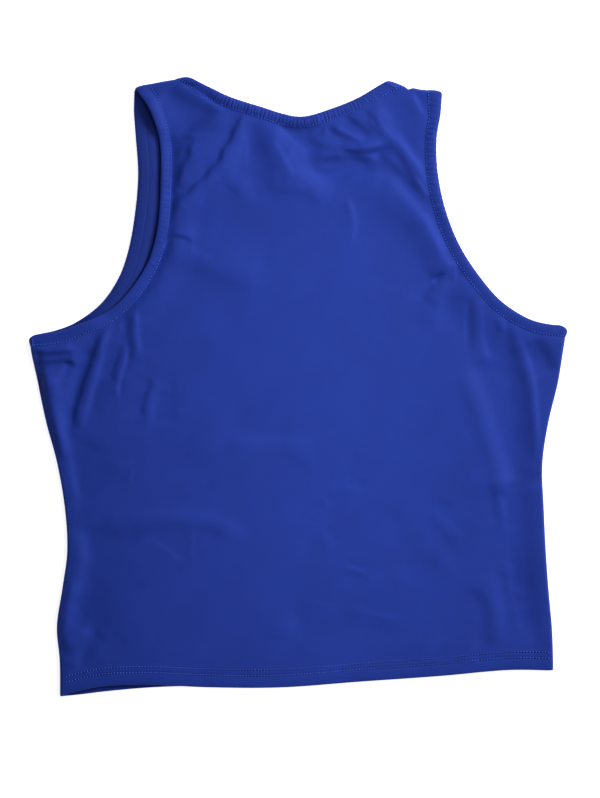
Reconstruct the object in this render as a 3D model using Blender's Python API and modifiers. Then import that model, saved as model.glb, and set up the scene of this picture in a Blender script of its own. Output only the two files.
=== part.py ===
"""Cropped sleeveless top of smooth stretch jersey, lying flat with its back up.

The cloth is a flattened tube: the front panel lies on the table and the back
panel lies on it.  Each panel is one open surface (its outer face) made as a
mesh of rows between its own cut edges, thickened inwards.  The two panels turn
a quarter round at the sides and meet at half height in the side seams.  The
back panel goes over the shoulders and meets the front 13 mm down the far side.
The neck and the armholes are bound: each binding is one strip of U section
that rides over the cut edge all the way round the hole.

x runs to the right, y up towards the neck, z up from the table.  Lengths below
are in millimetres and are turned into metres where the meshes are made.
"""

import math
from collections import namedtuple

import bmesh
import bpy
import numpy as np

MM = 0.001

# ---------------------------------------------------------------- sizes (mm)
WALL = 1.0              # cloth wall
SEAM = 0.3              # gap between pieces where they meet
FOLD_R = 3.0            # outer radius of a panel where it turns over a bound edge's fold
FOLD_Z = 4.3            # height of the fold's centre line over the table
BIND_OUT = SEAM + WALL  # how far a binding stands off the panel's outer face
BIND_IN = 2 * WALL + 0.45   # and how deep its inner leg reaches below that face
BIND_WIDTH = 9.3        # finished width of a binding
CUT = 1.6               # the panel's cut edge lies this far inside the finished edge
INSET = 9.8             # the panel stays level up to here from a finished edge
CHAMFER = 0.7           # softened corner of a binding's turned edge
SHOULDER_DROP = 13.0    # shoulder seam, down the front from the fold
CREST_IN = 3.5          # fold centre, inside the finished shoulder line
HEM_R = 1.3             # outer radius of the turned hem
HEM_DEPTH = 15.0        # turned-up allowance
HEM_ROW = 18.5          # first row above the hem, clear of the allowance
BACK_LOW = 4.0          # outer face of the back over the open middle
BACK_YOKE = 5.6         # and over the front's neckline
BACK_HEM = 5.6          # and over the two hems
YOKE_Y = 172.0          # the yoke starts here
WRAP_STEPS = 6          # facets in a half turn over the shoulder
SIDE_TURNS = (0.0, 28.0, 52.0, 72.0, 90.0)   # degrees, facets of a side's quarter turn
SIDE_GAP = 0.80         # side seam across the outer faces; it closes to SEAM at the inner ones
STRAP_COLUMNS = 3       # columns across a strap, between its level edges
EDGE_SKEW = 1.3         # a rung's stretch where it lies along the shoulder
CENTRE = (0.07, -0.75)    # shift that puts the box's centre on the origin

# ------------------------------------------------- tables, one row a section
# Body: height, finished left and right side.
Body = namedtuple("Body", "y left right")
BODY = [
    Body(-263.0, -202.9, 217.4), Body(-232.0, -203.3, 217.2), Body(-205.0, -205.8, 216.2),
    Body(-171.0, -201.0, 213.2), Body(-140.0, -196.9, 211.0), Body(-105.0, -198.7, 209.3),
    Body(-65.0, -205.4, 208.1), Body(-30.0, -214.8, 213.2), Body(5.0, -222.2, 221.6),
    Body(30.0, -227.3, 225.4), Body(52.5, -229.4, 228.7),
]
# Hem: finished edge of the back and of the front.
Hem = namedtuple("Hem", "x back front")
HEM = [
    Hem(-206.0, -263.6, -263.6), Hem(-185.5, -258.0, -261.6), Hem(-164.0, -254.1, -259.0),
    Hem(-126.0, -253.0, -255.7), Hem(-75.0, -255.0, -254.1), Hem(-15.5, -255.1, -253.8),
    Hem(52.5, -250.2, -248.7), Hem(120.5, -245.4, -243.7), Hem(180.0, -240.3, -239.1),
    Hem(219.0, -240.8, -239.9),
]
# Armholes: finished edge of the back and of the front, from underarm to shoulder.
Edge = namedtuple("Edge", "back_x back_y front_x front_y")
ARM_LEFT = [
    Edge(-225.0, 44.6, -225.0, 44.6), Edge(-206.0, 46.4, -207.0, 48.4), Edge(-188.0, 52.5, -190.0, 55.0),
    Edge(-160.2, 65.8, -168.0, 71.0), Edge(-142.0, 84.0, -152.7, 93.3), Edge(-127.7, 106.9, -145.0, 115.0),
    Edge(-120.3, 133.0, -139.5, 144.0), Edge(-117.2, 176.2, -136.3, 180.4), Edge(-118.2, 210.0, -138.4, 214.0),
    Edge(-126.5, 236.0, -140.0, 236.0), Edge(-137.0, 251.2, -139.6, 250.6),
]
ARM_RIGHT = [
    Edge(225.0, 52.4, 225.0, 52.4), Edge(212.0, 53.6, 211.0, 52.6), Edge(196.0, 58.0, 195.0, 55.2),
    Edge(172.4, 73.0, 168.1, 70.8), Edge(152.0, 96.6, 147.0, 96.4), Edge(136.5, 121.5, 132.0, 121.5),
    Edge(124.4, 152.7, 120.2, 152.7), Edge(118.2, 184.0, 113.8, 184.0), Edge(117.6, 212.0, 113.6, 212.0),
    Edge(120.8, 232.0, 117.2, 231.0), Edge(122.0, 247.4, 121.4, 247.4),
]
# Neck: finished edge of the back and of the front, from left shoulder to right.
NECK = [
    Edge(-86.2, 259.9, -89.2, 259.8), Edge(-76.0, 255.0, -87.0, 246.0), Edge(-58.0, 246.6, -75.0, 226.0),
    Edge(-34.2, 238.8, -41.0, 203.0), Edge(1.5, 229.6, -1.0, 196.0), Edge(27.0, 236.0, 38.1, 204.0),
    Edge(50.0, 245.2, 60.0, 222.0), Edge(62.0, 252.0, 71.6, 240.0), Edge(71.4, 257.2, 74.4, 256.8),
]
# Finished shoulder line.
Crest = namedtuple("Crest", "x y")
SHOULDER = [
    Crest(-141.5, 253.6), Crest(-131.3, 256.8), Crest(-114.0, 260.5), Crest(-94.1, 263.2), Crest(-80.0, 263.6),
    Crest(64.0, 262.2), Crest(77.2, 259.6), Crest(88.0, 256.9), Crest(100.0, 254.2), Crest(113.7, 252.0),
    Crest(124.0, 250.9),
]
# Largest folds of the back: a ridge (height above 0) or trough from a to b.
Fold = namedtuple("Fold", "name ax ay bx by width height")
FOLDS = [
    Fold("right yoke ridge", 66.0, 226.0, 106.0, 178.0, 15.0, 1.1),
    Fold("right arm ridge", 92.0, 164.0, 130.0, 116.0, 14.0, 1.0),
    Fold("left yoke trough", -104.0, 150.0, -66.0, 206.0, 17.0, -0.6),
    Fold("left underarm ridge", -156.0, 46.0, -186.0, -30.0, 14.0, 1.1),
    Fold("left underarm trough", -178.0, 40.0, -196.0, -22.0, 14.0, -0.8),
    Fold("right side ridge", 146.0, 24.0, 180.0, -96.0, 16.0, 1.2),
    Fold("right side trough", 136.0, 26.0, 166.0, -86.0, 15.0, -0.8),
    Fold("right edge ridge", 186.0, 36.0, 204.0, -36.0, 13.0, 0.8),
    Fold("lower right ridge", 171.0, -100.0, 180.0, -176.0, 15.0, 0.8),
    Fold("lower left bulge", -190.0, -190.0, -178.0, -226.0, 15.0, 0.7),
]

BLUE = (0.0194, 0.0423, 0.279, 1.0)       # royal blue jersey
BLUE_BAND = (0.0172, 0.0375, 0.252, 1.0)  # the same cloth, drawn up in the bindings
ROUGHNESS = 0.62


# ------------------------------------------------------------------- curves
def smooth(points, per=10):
    """Dense centripetal Catmull-Rom curve through the rows of a table."""
    p = np.array(points, float)
    p = np.vstack([2 * p[0] - p[1], p, 2 * p[-1] - p[-2]])
    out = []
    for i in range(1, len(p) - 2):
        a, b, c, d = p[i - 1], p[i], p[i + 1], p[i + 2]
        t0 = 0.0
        t1 = t0 + np.linalg.norm(b - a) ** 0.5
        t2 = t1 + np.linalg.norm(c - b) ** 0.5
        t3 = t2 + np.linalg.norm(d - c) ** 0.5
        for k in range(per):
            t = t1 + (t2 - t1) * k / per
            a1 = (t1 - t) / (t1 - t0) * a + (t - t0) / (t1 - t0) * b
            a2 = (t2 - t) / (t2 - t1) * b + (t - t1) / (t2 - t1) * c
            a3 = (t3 - t) / (t3 - t2) * c + (t - t2) / (t3 - t2) * d
            b1 = (t2 - t) / (t2 - t0) * a1 + (t - t0) / (t2 - t0) * a2
            b2 = (t3 - t) / (t3 - t1) * a2 + (t - t1) / (t3 - t1) * a3
            out.append((t2 - t) / (t2 - t1) * b1 + (t - t1) / (t2 - t1) * b2)
    out.append(p[-2])
    return np.array(out)


def lengths(poly):
    return np.concatenate([[0.0], np.cumsum(np.linalg.norm(np.diff(poly, axis=0), axis=1))])


def along(poly, shares):
    """Points at the given shares of a polyline's length."""
    s = lengths(poly)
    q = np.asarray(shares) * s[-1]
    return np.column_stack([np.interp(q, s, poly[:, k]) for k in range(poly.shape[1])])


def ease(t):
    t = min(max(t, 0.0), 1.0)
    return t * t * (3 - 2 * t)


def distance(poly, x, y):
    """Distance of a point from a polyline, in the plane."""
    a, b = poly[:-1, :2], poly[1:, :2]
    ab = b - a
    p = np.array([x, y])
    t = np.clip(((p - a) * ab).sum(1) / np.maximum((ab * ab).sum(1), 1e-9), 0, 1)
    return float(np.min(np.linalg.norm(a + ab * t[:, None] - p, axis=1)))


body = smooth([(r.y, r.left, r.right) for r in BODY])
hem = smooth([(r.x, r.back, r.front) for r in HEM])
crest = smooth([(r.x, r.y) for r in SHOULDER[:5]]), smooth([(r.x, r.y) for r in SHOULDER[5:]])


def side_x(y, hand):
    """Finished side at a height; hand is -1 at the left, 1 at the right."""
    return float(np.interp(y, body[:, 0], body[:, 1 if hand < 0 else 2]))


def hem_y(x, face):
    return float(np.interp(x, hem[:, 0], hem[:, 1 if face > 0 else 2]))


def fold_y(x):
    """Centre line of the shoulder fold."""
    c = crest[0] if x < 0 else crest[1]
    return float(np.interp(x, c[:, 0], c[:, 1])) - CREST_IN


class Face:
    """The back (side = 1) or the front (side = -1) and its own cut."""

    def __init__(self, side):
        self.side = side
        pick = (lambda r: (r.back_x, r.back_y)) if side > 0 else (lambda r: (r.front_x, r.front_y))
        self.arm = {-1: smooth([pick(r) for r in ARM_LEFT]), 1: smooth([pick(r) for r in ARM_RIGHT])}
        self.neck = smooth([pick(r) for r in NECK])

    def from_edges(self, x, y):
        return min(distance(self.arm[-1], x, y), distance(self.arm[1], x, y), distance(self.neck, x, y))

    def height(self, x, y):
        """Outer face over the table, away from the bindings."""
        bound = 1 - ease((self.from_edges(x, y) - INSET - 0.4) / (30.0 if self.side > 0 else 14.0))
        strap = ease((y - (fold_y(x) - 45.0)) / 20.0) if abs(x) > 60.0 and y > 180.0 else 0.0
        tied = max(bound, strap)
        level = FOLD_Z + self.side * FOLD_R
        if self.side < 0:
            return level * tied
        z = BACK_LOW + (BACK_YOKE - BACK_LOW) * ease((y - YOKE_Y + 40.0) / 40.0)
        up = y - hem_y(x, 1)
        over_hem = 1 - ease((up - HEM_ROW - 1.0) / 26.0)
        z += (BACK_HEM - z) * over_hem
        for f in FOLDS:
            ab = np.array([f.bx - f.ax, f.by - f.ay])
            p = np.array([x - f.ax, y - f.ay])
            t = float(np.clip(p @ ab / (ab @ ab), 0, 1))
            off = float(np.linalg.norm(p - t * ab)) / f.width
            z += f.height * math.exp(-off * off) * ease(4 * t + 0.3) * ease(4 * (1 - t) + 0.3) * (1 - over_hem)
        return z + (level - z) * tied


BACK, FRONT = Face(1), Face(-1)


def side_fold(y, hand):
    """Centre (x, z) and outer radius of the side fold at a height."""
    x = side_x(y, hand) - 3.0 * hand
    top, low = BACK.height(x, y), FRONT.height(x, y)
    r = (top - low) / 2
    return side_x(y, hand) - hand * (r + 0.3), (top + low) / 2, r


# --------------------------------------------------------------------- rungs
# A rung crosses a bound edge at a right angle: its foot is the panel's cut
# edge, its head the level inset.  at(n) gives both, n outside the outer face.
class Rung:
    def __init__(self, foot, head):
        self.foot, self.head = foot, head

    def point(self, b, n):
        """b from the finished edge into the cloth, n out of the panel's outer face."""
        a, h = np.array(self.foot(n)), np.array(self.head(n))
        return a + (h - a) * (b - CUT) / (INSET - CUT)


def level_rung(x, y, dx, dy, side):
    z = lambda n: FOLD_Z + side * (FOLD_R + n)
    return Rung(lambda n: (x + CUT * dx, y + CUT * dy, z(n)), lambda n: (x + INSET * dx, y + INSET * dy, z(n)))


def side_rung(edge_y, hand, side, turn):
    def at(b, n):
        y = edge_y - b
        cx = side_x(y, hand) - hand * (FOLD_R + 0.3)
        return (cx + hand * (FOLD_R + n) * math.sin(turn), y, FOLD_Z + side * (FOLD_R + n) * math.cos(turn))
    return Rung(lambda n: at(CUT, n), lambda n: at(INSET, n))


def shoulder_rung(x, dx, turn):
    def at(b, n):
        px = x + b * dx
        return (px, fold_y(px) + (FOLD_R + n) * math.sin(turn), FOLD_Z + (FOLD_R + n) * math.cos(turn))
    return Rung(lambda n: at(CUT, n), lambda n: at(INSET, n))


def level_rungs(poly, count, side, start, end, inward):
    """Rungs along a cut edge, turned gradually to the directions at its two ends."""
    pts = along(poly, [i / count for i in range(count + 1)])
    step = along(poly, [min(i / count + 0.004, 1.0) for i in range(count + 1)]) - \
        along(poly, [max(i / count - 0.004, 0.0) for i in range(count + 1)])
    rungs = []
    for i in range(count + 1):
        t = step[i] / np.linalg.norm(step[i])
        m = np.array([-t[1], t[0]]) * inward
        d = m
        for target, far in ((start, i), (end, count - i)):
            w = 1 - ease(far / 3.0)
            d = d * (1 - w) + np.array(target) * w
        d = d / np.linalg.norm(d)
        k = 1 / max(float(d @ m), 0.72)
        rungs.append(level_rung(pts[i][0], pts[i][1], d[0] * k, d[1] * k, side))
    return rungs


def shoulder_point(x, drop, n):
    """Point of the front side of a shoulder, below the fold."""
    return (x, fold_y(x) - drop, FOLD_Z - FOLD_R - n)


def drop_rung(x, dx, drop):
    return Rung(lambda n: shoulder_point(x + CUT * dx, drop, n), lambda n: shoulder_point(x + INSET * dx, drop, n))


def up_to_shoulder(poly, drop):
    """An edge, from its low end up to where it meets a line below the shoulder fold."""
    keep = [poly[0]]
    for a, b in zip(poly[:-1], poly[1:]):
        ga, gb = a[1] - fold_y(a[0]) + drop, b[1] - fold_y(b[0]) + drop
        if gb >= 0:
            keep.append(a + (b - a) * (ga / (ga - gb)))
            return np.array(keep)
        keep.append(b)
    return np.array(keep)


HALF = [math.pi * i / WRAP_STEPS for i in range(WRAP_STEPS + 1)]
QUARTER = [math.radians(t) for t in SIDE_TURNS]
SEAM_TURN = math.acos(0.5 * SIDE_GAP / FOLD_R)
DROP = SHOULDER_DROP, SHOULDER_DROP + 1.4 * SEAM
ARM_COUNT = {1: 16, -1: 12}
NECK_COUNT = {1: 16, -1: 12}
SIDE_ROWS = 12


def shoulder_rungs(back_poly, front_poly, dx):
    """Rungs over the shoulder, from the top face round to the seam on the front side."""
    xb = up_to_shoulder(back_poly, 0.0)[-1][0]
    xf = up_to_shoulder(front_poly, 0.0)[-1][0]
    xs = up_to_shoulder(front_poly, DROP[0])[-1][0]
    wrap = [shoulder_rung(xb + (xf - xb) * (1 - math.cos(a)) / 2, dx, a) for a in HALF]
    return wrap + [drop_rung(xs, dx, DROP[0])]


def arm_rungs(face, hand):
    """One panel's share of an armhole, from the side seam to the shoulder."""
    y = face.arm[hand][0][1]
    side = [side_rung(y, hand, face.side, a) for a in [SEAM_TURN] + QUARTER[-2:0:-1]]
    poly = up_to_shoulder(face.arm[hand], 0.0 if face.side > 0 else DROP[1])
    poly[0][0] = side_x(y, hand) - hand * (FOLD_R + 0.3)
    flat = level_rungs(poly, ARM_COUNT[face.side], face.side, (0, -1), (-hand, 0), hand)
    flat[0] = side_rung(y, hand, face.side, 0.0)
    if face.side > 0:
        return side, flat[:-1], shoulder_rungs(face.arm[hand], FRONT.arm[hand], -hand * EDGE_SKEW)
    return side, flat[:-1] + [drop_rung(poly[-1][0], -hand, DROP[1])], []


def neck_rungs(face):
    """One panel's share of the neck: left shoulder, level run, right shoulder."""
    if face.side > 0:
        left = shoulder_rungs(face.neck[::-1], FRONT.neck[len(FRONT.neck) // 2::-1], -EDGE_SKEW)
        right = shoulder_rungs(face.neck, FRONT.neck[len(FRONT.neck) // 2:], EDGE_SKEW)
    drop = 0.0 if face.side > 0 else DROP[1]
    mid = len(face.neck) // 2
    poly = np.vstack([up_to_shoulder(face.neck[mid::-1], drop)[::-1], up_to_shoulder(face.neck[mid:], drop)[1:]])
    flat = level_rungs(poly, NECK_COUNT[face.side], face.side, (-1, 0), (1, 0), -1)
    if face.side > 0:
        return left[::-1], flat[1:-1], right
    return [drop_rung(poly[0][0], -1, drop)], flat[1:-1], [drop_rung(poly[-1][0], 1, drop)]


# -------------------------------------------------------------------- meshes
def strip(first, second):
    """Quads between two rows of points."""
    return [(first[i], first[i + 1], second[i + 1], second[i]) for i in range(len(first) - 1)]


def sheet(rows):
    return [q for a, b in zip(rows[:-1], rows[1:]) for q in strip(a, b)]


def shares(poly):
    s = lengths(np.array(poly)[:, :2])
    return s / s[-1]


def filled(face, left, right, low, top):
    """Rows of points between four edges; z from the face's own folds.

    A row starts on the left edge, sinks to an even spacing over the open
    middle, and climbs back to its place on the right edge.
    """
    left, right, low, top = (np.array(e, float) for e in (left, right, low, top))
    vl, vr, ul, ut = shares(left), shares(right), shares(low), shares(top)
    fine = np.linspace(0, 1, 200)
    on = lambda edge, share, v: np.array([np.interp(v, share, edge[:, k]) for k in range(3)])
    mean_y = np.array([on(left, vl, v)[1] + on(right, vr, v)[1] for v in fine])
    even = np.interp(np.linspace(mean_y[0], mean_y[-1], len(left)), mean_y, fine)
    rows = []
    for j in range(len(left)):
        row = []
        for i in range(len(low)):
            s = i / (len(low) - 1)
            v = vl[j] + (vr[j] - vl[j]) * s
            if j > 1:
                v += (even[j] - v) * ease(min(s, 1 - s) / 0.22)
            u = ul[i] + (ut[i] - ul[i]) * v
            if i == 0:
                row.append(tuple(left[j]))
            elif i == len(low) - 1:
                row.append(tuple(right[j]))
            elif j == 0:
                row.append(tuple(low[i]))
            elif j == len(left) - 1:
                row.append(tuple(top[i]))
            else:
                p = (1 - u) * on(left, vl, v) + u * on(right, vr, v) \
                    + (1 - v) * on(low, ul, u) + v * on(top, ut, u) \
                    - (1 - u) * (1 - v) * left[0] - u * (1 - v) * right[0] - (1 - u) * v * left[-1] - u * v * right[-1]
                row.append((p[0], p[1], face.height(p[0], p[1])))
        rows.append(row)
    return rows


def panel(face):
    """All quads of one panel's outer face."""
    quads = []
    edges = {}
    head, foot = (lambda r: tuple(r.head(0.0))), (lambda r: tuple(r.foot(0.0)))
    for hand in (-1, 1):
        side, flat, over = arm_rungs(face, hand)
        run = side + flat + over
        quads += strip([foot(r) for r in run], [head(r) for r in run])
        top_y = head(flat[0])[1]
        corner_x = side_x(-250.0, hand) - 3.0 * hand
        first = hem_y(corner_x, 1) + HEM_ROW
        ys = [hem_y(corner_x, face.side) + HEM_R]
        ys += [first + (top_y - first) * k / (SIDE_ROWS - 1) for k in range(SIDE_ROWS)]
        rows = []
        for y in ys[:-1]:
            cx, cz, r = side_fold(y, hand)
            turns = [0.0] + QUARTER[1:-1] + [math.acos(0.5 * SIDE_GAP / r)]
            rows.append([(cx + hand * r * math.sin(a), y, cz + face.side * r * math.cos(a)) for a in turns])
        rows.append([head(flat[0])] + [head(r) for r in side[::-1]])
        quads += sheet(rows)
        edges[hand] = [r[0] for r in rows] + [head(r) for r in flat[1:] + over[:1]], over
    a, flat, b = neck_rungs(face)
    run = a + flat + b
    quads += strip([foot(r) for r in run], [head(r) for r in run])
    # the straps, between the armhole's and the neck's level insets
    straps = {}
    for hand, rungs in ((-1, a[::-1]), (1, b)):
        over = edges[hand][1] if face.side > 0 else [None]
        ends = [head(r) for r in over] if face.side > 0 else [edges[hand][0][-1]]
        rows = []
        for k, (e, r) in enumerate(zip(ends, rungs)):
            h = head(r)
            mids = []
            for m in range(1, STRAP_COLUMNS):
                x = e[0] + (h[0] - e[0]) * m / STRAP_COLUMNS
                if face.side < 0:
                    mids.append(shoulder_point(x, DROP[1], 0.0))
                elif k <= WRAP_STEPS:
                    mids.append((x, fold_y(x) + FOLD_R * math.sin(HALF[k]), FOLD_Z + FOLD_R * math.cos(HALF[k])))
                else:
                    mids.append(shoulder_point(x, DROP[0], 0.0))
            rows.append([e] + mids + [h])
        quads += sheet(rows)
        straps[hand] = rows[0]
    top = straps[-1] + [head(r) for r in flat] + straps[1][::-1]
    left, right = edges[-1][0], edges[1][0]
    count = len(top)
    low = []
    for i in range(count):
        t = shares(top)[i]
        x = left[0][0] + (right[0][0] - left[0][0]) * (0.35 * i / (count - 1) + 0.65 * t)
        z = BACK_HEM if face.side > 0 else 0.0
        low.append((x, hem_y(x, face.side) + HEM_R, z))
    low[0], low[-1] = left[0], right[0]
    quads += sheet(filled(face, left, right, low, top))
    # the hem: half a turn inwards, then the allowance inside the tube
    rows = []
    for turn in (0, 60, 120, 180):
        c, s = math.cos(math.radians(turn)), math.sin(math.radians(turn))
        rows.append([p if turn == 0 else (p[0], p[1] - HEM_R * s, p[2] - face.side * HEM_R * (1 - c)) for p in low])
    rows.append([(p[0], p[1] + HEM_DEPTH, p[2] - face.side * 2 * HEM_R) for p in low])
    quads += sheet(rows)
    return quads


def binding(rungs):
    """Closed ring of the U section's outer skin, over all the rungs of one hole."""
    section = [(BIND_WIDTH, BIND_OUT), (CHAMFER, BIND_OUT), (0.0, BIND_OUT - CHAMFER),
               (0.0, CHAMFER - BIND_IN), (CHAMFER, -BIND_IN), (BIND_WIDTH, -BIND_IN)]
    rows = [[tuple(r.point(b, n)) for b, n in section] for r in rungs]
    return sheet(rows + rows[:1])


def arm_ring(hand):
    side, flat, over = arm_rungs(BACK, hand)
    front_side, front_flat, _ = arm_rungs(FRONT, hand)
    crown = side_rung(BACK.arm[hand][0][1], hand, 1, 0.5 * math.pi)
    return [crown] + side[1:] + flat + over + front_flat[:-1][::-1] + front_side[:0:-1]


def neck_ring():
    a, flat, b = neck_rungs(BACK)
    _, front_flat, _ = neck_rungs(FRONT)
    return a + flat + b + front_flat[::-1]


def cloth(name, quads, upright, colour, collection):
    """One piece: its outer face as one mesh, thickened inwards."""
    bm = bmesh.new()
    for quad in quads:
        bm.faces.new([bm.verts.new(((p[0] + CENTRE[0]) * MM, (p[1] + CENTRE[1]) * MM, p[2] * MM)) for p in quad])
    bmesh.ops.remove_doubles(bm, verts=bm.verts, dist=1e-6)
    bmesh.ops.recalc_face_normals(bm, faces=bm.faces)
    bm.normal_update()
    test = upright(bm)
    if test < 0:
        bmesh.ops.reverse_faces(bm, faces=bm.faces)
    mesh = bpy.data.meshes.new(name)
    bm.to_mesh(mesh)
    bm.free()
    mesh.shade_smooth()
    obj = bpy.data.objects.new(name, mesh)
    collection.objects.link(obj)
    wall = obj.modifiers.new("Wall", "SOLIDIFY")
    wall.thickness = WALL * MM
    wall.offset = -1.0
    wall.use_even_offset = True
    wall.use_quality_normals = True
    material = bpy.data.materials.new(name)
    material.use_nodes = True
    shader = material.node_tree.nodes["Principled BSDF"]
    shader.inputs["Base Color"].default_value = colour
    shader.inputs["Roughness"].default_value = ROUGHNESS
    shader.inputs["Metallic"].default_value = 0.0
    material.diffuse_color = colour
    mesh.materials.append(material)
    return obj


def widest_normal(sign):
    """Sign of the outer face's direction over the open middle of a panel."""
    def test(bm):
        face = max(bm.faces, key=lambda f: f.calc_area())
        return face.normal.z * sign
    return test


def ring_normal(bm):
    """The top leg of a binding faces up."""
    high = max(bm.faces, key=lambda f: (round(f.calc_center_median().z, 5), f.calc_area()))
    return high.normal.z


def main():
    for obj in list(bpy.data.objects):
        bpy.data.objects.remove(obj, do_unlink=True)
    pieces = bpy.data.collections.new("tank_top")
    bpy.context.scene.collection.children.link(pieces)
    cloth("back_panel", panel(BACK), widest_normal(1), BLUE, pieces)
    cloth("front_panel", panel(FRONT), widest_normal(-1), BLUE, pieces)
    cloth("neck_band", binding(neck_ring()), ring_normal, BLUE_BAND, pieces)
    cloth("armhole_band_left", binding(arm_ring(-1)), ring_normal, BLUE_BAND, pieces)
    cloth("armhole_band_right", binding(arm_ring(1)), ring_normal, BLUE_BAND, pieces)


main()
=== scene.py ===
"""Visual model of the cropped sleeveless jersey top, lying flat with its back up.

Each cloth piece is a thin shell on the form of its own CAD solid.  The open
part of a panel is one even net of points, and its folds are placed one by one
in the tables below.  The bound edges, the side turns, the shoulders and the
hems are fine strips joined to that net.  Lengths are in millimetres and are
turned into metres where the meshes are made.

Fold lines are given on the layout grid of the view from above: u runs to the
right, v runs down, and a step is 0.85 mm.
"""

import math
from collections import namedtuple

import bmesh
import bpy
import numpy as np
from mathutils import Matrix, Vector
from mathutils.geometry import delaunay_2d_cdt


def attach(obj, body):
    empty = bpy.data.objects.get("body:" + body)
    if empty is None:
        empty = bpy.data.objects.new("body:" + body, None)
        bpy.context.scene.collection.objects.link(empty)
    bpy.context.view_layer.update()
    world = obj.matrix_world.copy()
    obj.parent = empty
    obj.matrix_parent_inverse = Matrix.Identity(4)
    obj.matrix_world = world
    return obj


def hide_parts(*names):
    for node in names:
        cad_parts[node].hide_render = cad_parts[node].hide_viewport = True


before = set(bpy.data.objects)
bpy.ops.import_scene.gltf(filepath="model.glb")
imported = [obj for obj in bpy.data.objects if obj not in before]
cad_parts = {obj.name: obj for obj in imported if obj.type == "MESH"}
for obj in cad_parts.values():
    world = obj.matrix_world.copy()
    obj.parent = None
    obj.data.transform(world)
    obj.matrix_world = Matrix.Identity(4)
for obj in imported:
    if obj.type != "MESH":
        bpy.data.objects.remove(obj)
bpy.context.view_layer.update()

MM = 0.001
STEP = 0.85                     # one step of the layout grid
ORIGIN = (298.2, 387.25)        # the grid's u, v at the tables' origin
CENTRE = (0.07, -0.75)          # the same shift as in the CAD

# ---------------------------------------------------------------- sizes (mm)
FOLD_R = 3.0
FOLD_Z = 4.3
BIND_WIDTH = 9.3
CUT = 1.6
INSET = 9.8
SHOULDER_DROP = 13.0
CREST_IN = 3.5
HEM_R = 1.3
HEM_DEPTH = 15.0
HEM_ROW = 18.5
HEM_STITCHES = (15.6, 10.6)     # the two rows, from the hem's lower edge
BACK_LOW = 4.8
BACK_YOKE = 6.0
BACK_HEM = 5.6
YOKE_Y = 172.0
EDGE_SKEW = 1.3
CORNER = 8.0                    # radius of the underarm corners
SEAM = 9.5                      # the binding's seam from the finished edge
GROOVE = namedtuple("Groove", "left right neck")(1.0, 0.3, 0.5)   # how deep the seam lies below the edge
CLOTH = 0.7                     # wall of the jersey
TABLE = 0.05                    # the lowest that any cloth lies
NET = {1: 2.9, -1: 3.0}         # spacing of the net, back and front
FINE_NET = 1.55                 # its spacing along the narrow folds
EDGE_NET = 1.3                  # spacing along its boundary

# ------------------------------------------------- tables, one row a section
Body = namedtuple("Body", "y left right")
BODY = [
    Body(-263.0, -202.9, 217.4), Body(-232.0, -203.3, 217.2), Body(-205.0, -205.8, 216.2),
    Body(-171.0, -201.0, 213.2), Body(-140.0, -196.9, 211.0), Body(-105.0, -198.7, 209.3),
    Body(-65.0, -205.4, 208.1), Body(-30.0, -214.8, 213.2), Body(5.0, -222.2, 221.6),
    Body(30.0, -227.3, 225.4), Body(52.5, -229.4, 228.7),
]
Hem = namedtuple("Hem", "x back front")
HEM = [
    Hem(-206.0, -263.6, -263.6), Hem(-185.5, -258.0, -261.6), Hem(-164.0, -254.1, -259.0),
    Hem(-126.0, -253.0, -255.7), Hem(-75.0, -255.0, -254.1), Hem(-15.5, -255.1, -253.8),
    Hem(52.5, -250.2, -248.7), Hem(120.5, -245.4, -243.7), Hem(180.0, -240.3, -239.1),
    Hem(219.0, -240.8, -239.9),
]
Edge = namedtuple("Edge", "back_x back_y front_x front_y")
ARM_LEFT = [
    Edge(-225.0, 44.6, -225.0, 44.6), Edge(-206.0, 46.4, -207.0, 48.4), Edge(-188.0, 52.5, -190.0, 55.0),
    Edge(-160.2, 65.8, -168.0, 71.0), Edge(-142.0, 84.0, -152.7, 93.3), Edge(-127.7, 106.9, -145.0, 115.0),
    Edge(-120.3, 133.0, -139.5, 144.0), Edge(-117.2, 176.2, -136.3, 180.4), Edge(-118.2, 210.0, -138.4, 214.0),
    Edge(-126.5, 236.0, -140.0, 236.0), Edge(-137.0, 251.2, -139.6, 250.6),
]
ARM_RIGHT = [
    Edge(225.0, 52.4, 225.0, 52.4), Edge(212.0, 53.6, 211.0, 52.6), Edge(196.0, 58.0, 195.0, 55.2),
    Edge(172.4, 73.0, 168.1, 70.8), Edge(152.0, 96.6, 147.0, 96.4), Edge(136.5, 121.5, 132.0, 121.5),
    Edge(124.4, 152.7, 120.2, 152.7), Edge(118.2, 184.0, 113.8, 184.0), Edge(117.6, 212.0, 113.6, 212.0),
    Edge(120.8, 232.0, 117.2, 231.0), Edge(122.0, 247.4, 121.4, 247.4),
]
NECK = [
    Edge(-86.2, 259.9, -89.2, 259.8), Edge(-76.0, 255.0, -87.0, 246.0), Edge(-58.0, 246.6, -75.0, 226.0),
    Edge(-34.2, 238.8, -41.0, 203.0), Edge(1.5, 229.6, -1.0, 196.0), Edge(27.0, 236.0, 38.1, 204.0),
    Edge(50.0, 245.2, 60.0, 222.0), Edge(62.0, 252.0, 71.6, 240.0), Edge(71.4, 257.2, 74.4, 256.8),
]
Crest = namedtuple("Crest", "x y")
SHOULDER = [
    Crest(-141.5, 253.6), Crest(-131.3, 256.8), Crest(-114.0, 260.5), Crest(-94.1, 263.2), Crest(-80.0, 263.6),
    Crest(64.0, 262.2), Crest(77.2, 259.6), Crest(88.0, 256.9), Crest(100.0, 254.2), Crest(113.7, 252.0),
    Crest(124.0, 250.9),
]
# Small dips of the shoulder fold, added to the crest above.
Dip = namedtuple("Dip", "x dy half")
DIPS = [
    Dip(78.5, 0.6, 3.0), Dip(84.8, -2.0, 1.9), Dip(93.6, -1.8, 2.4), Dip(99.0, 0.2, 2.5), Dip(108.0, 0.3, 3.0),
]

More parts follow.
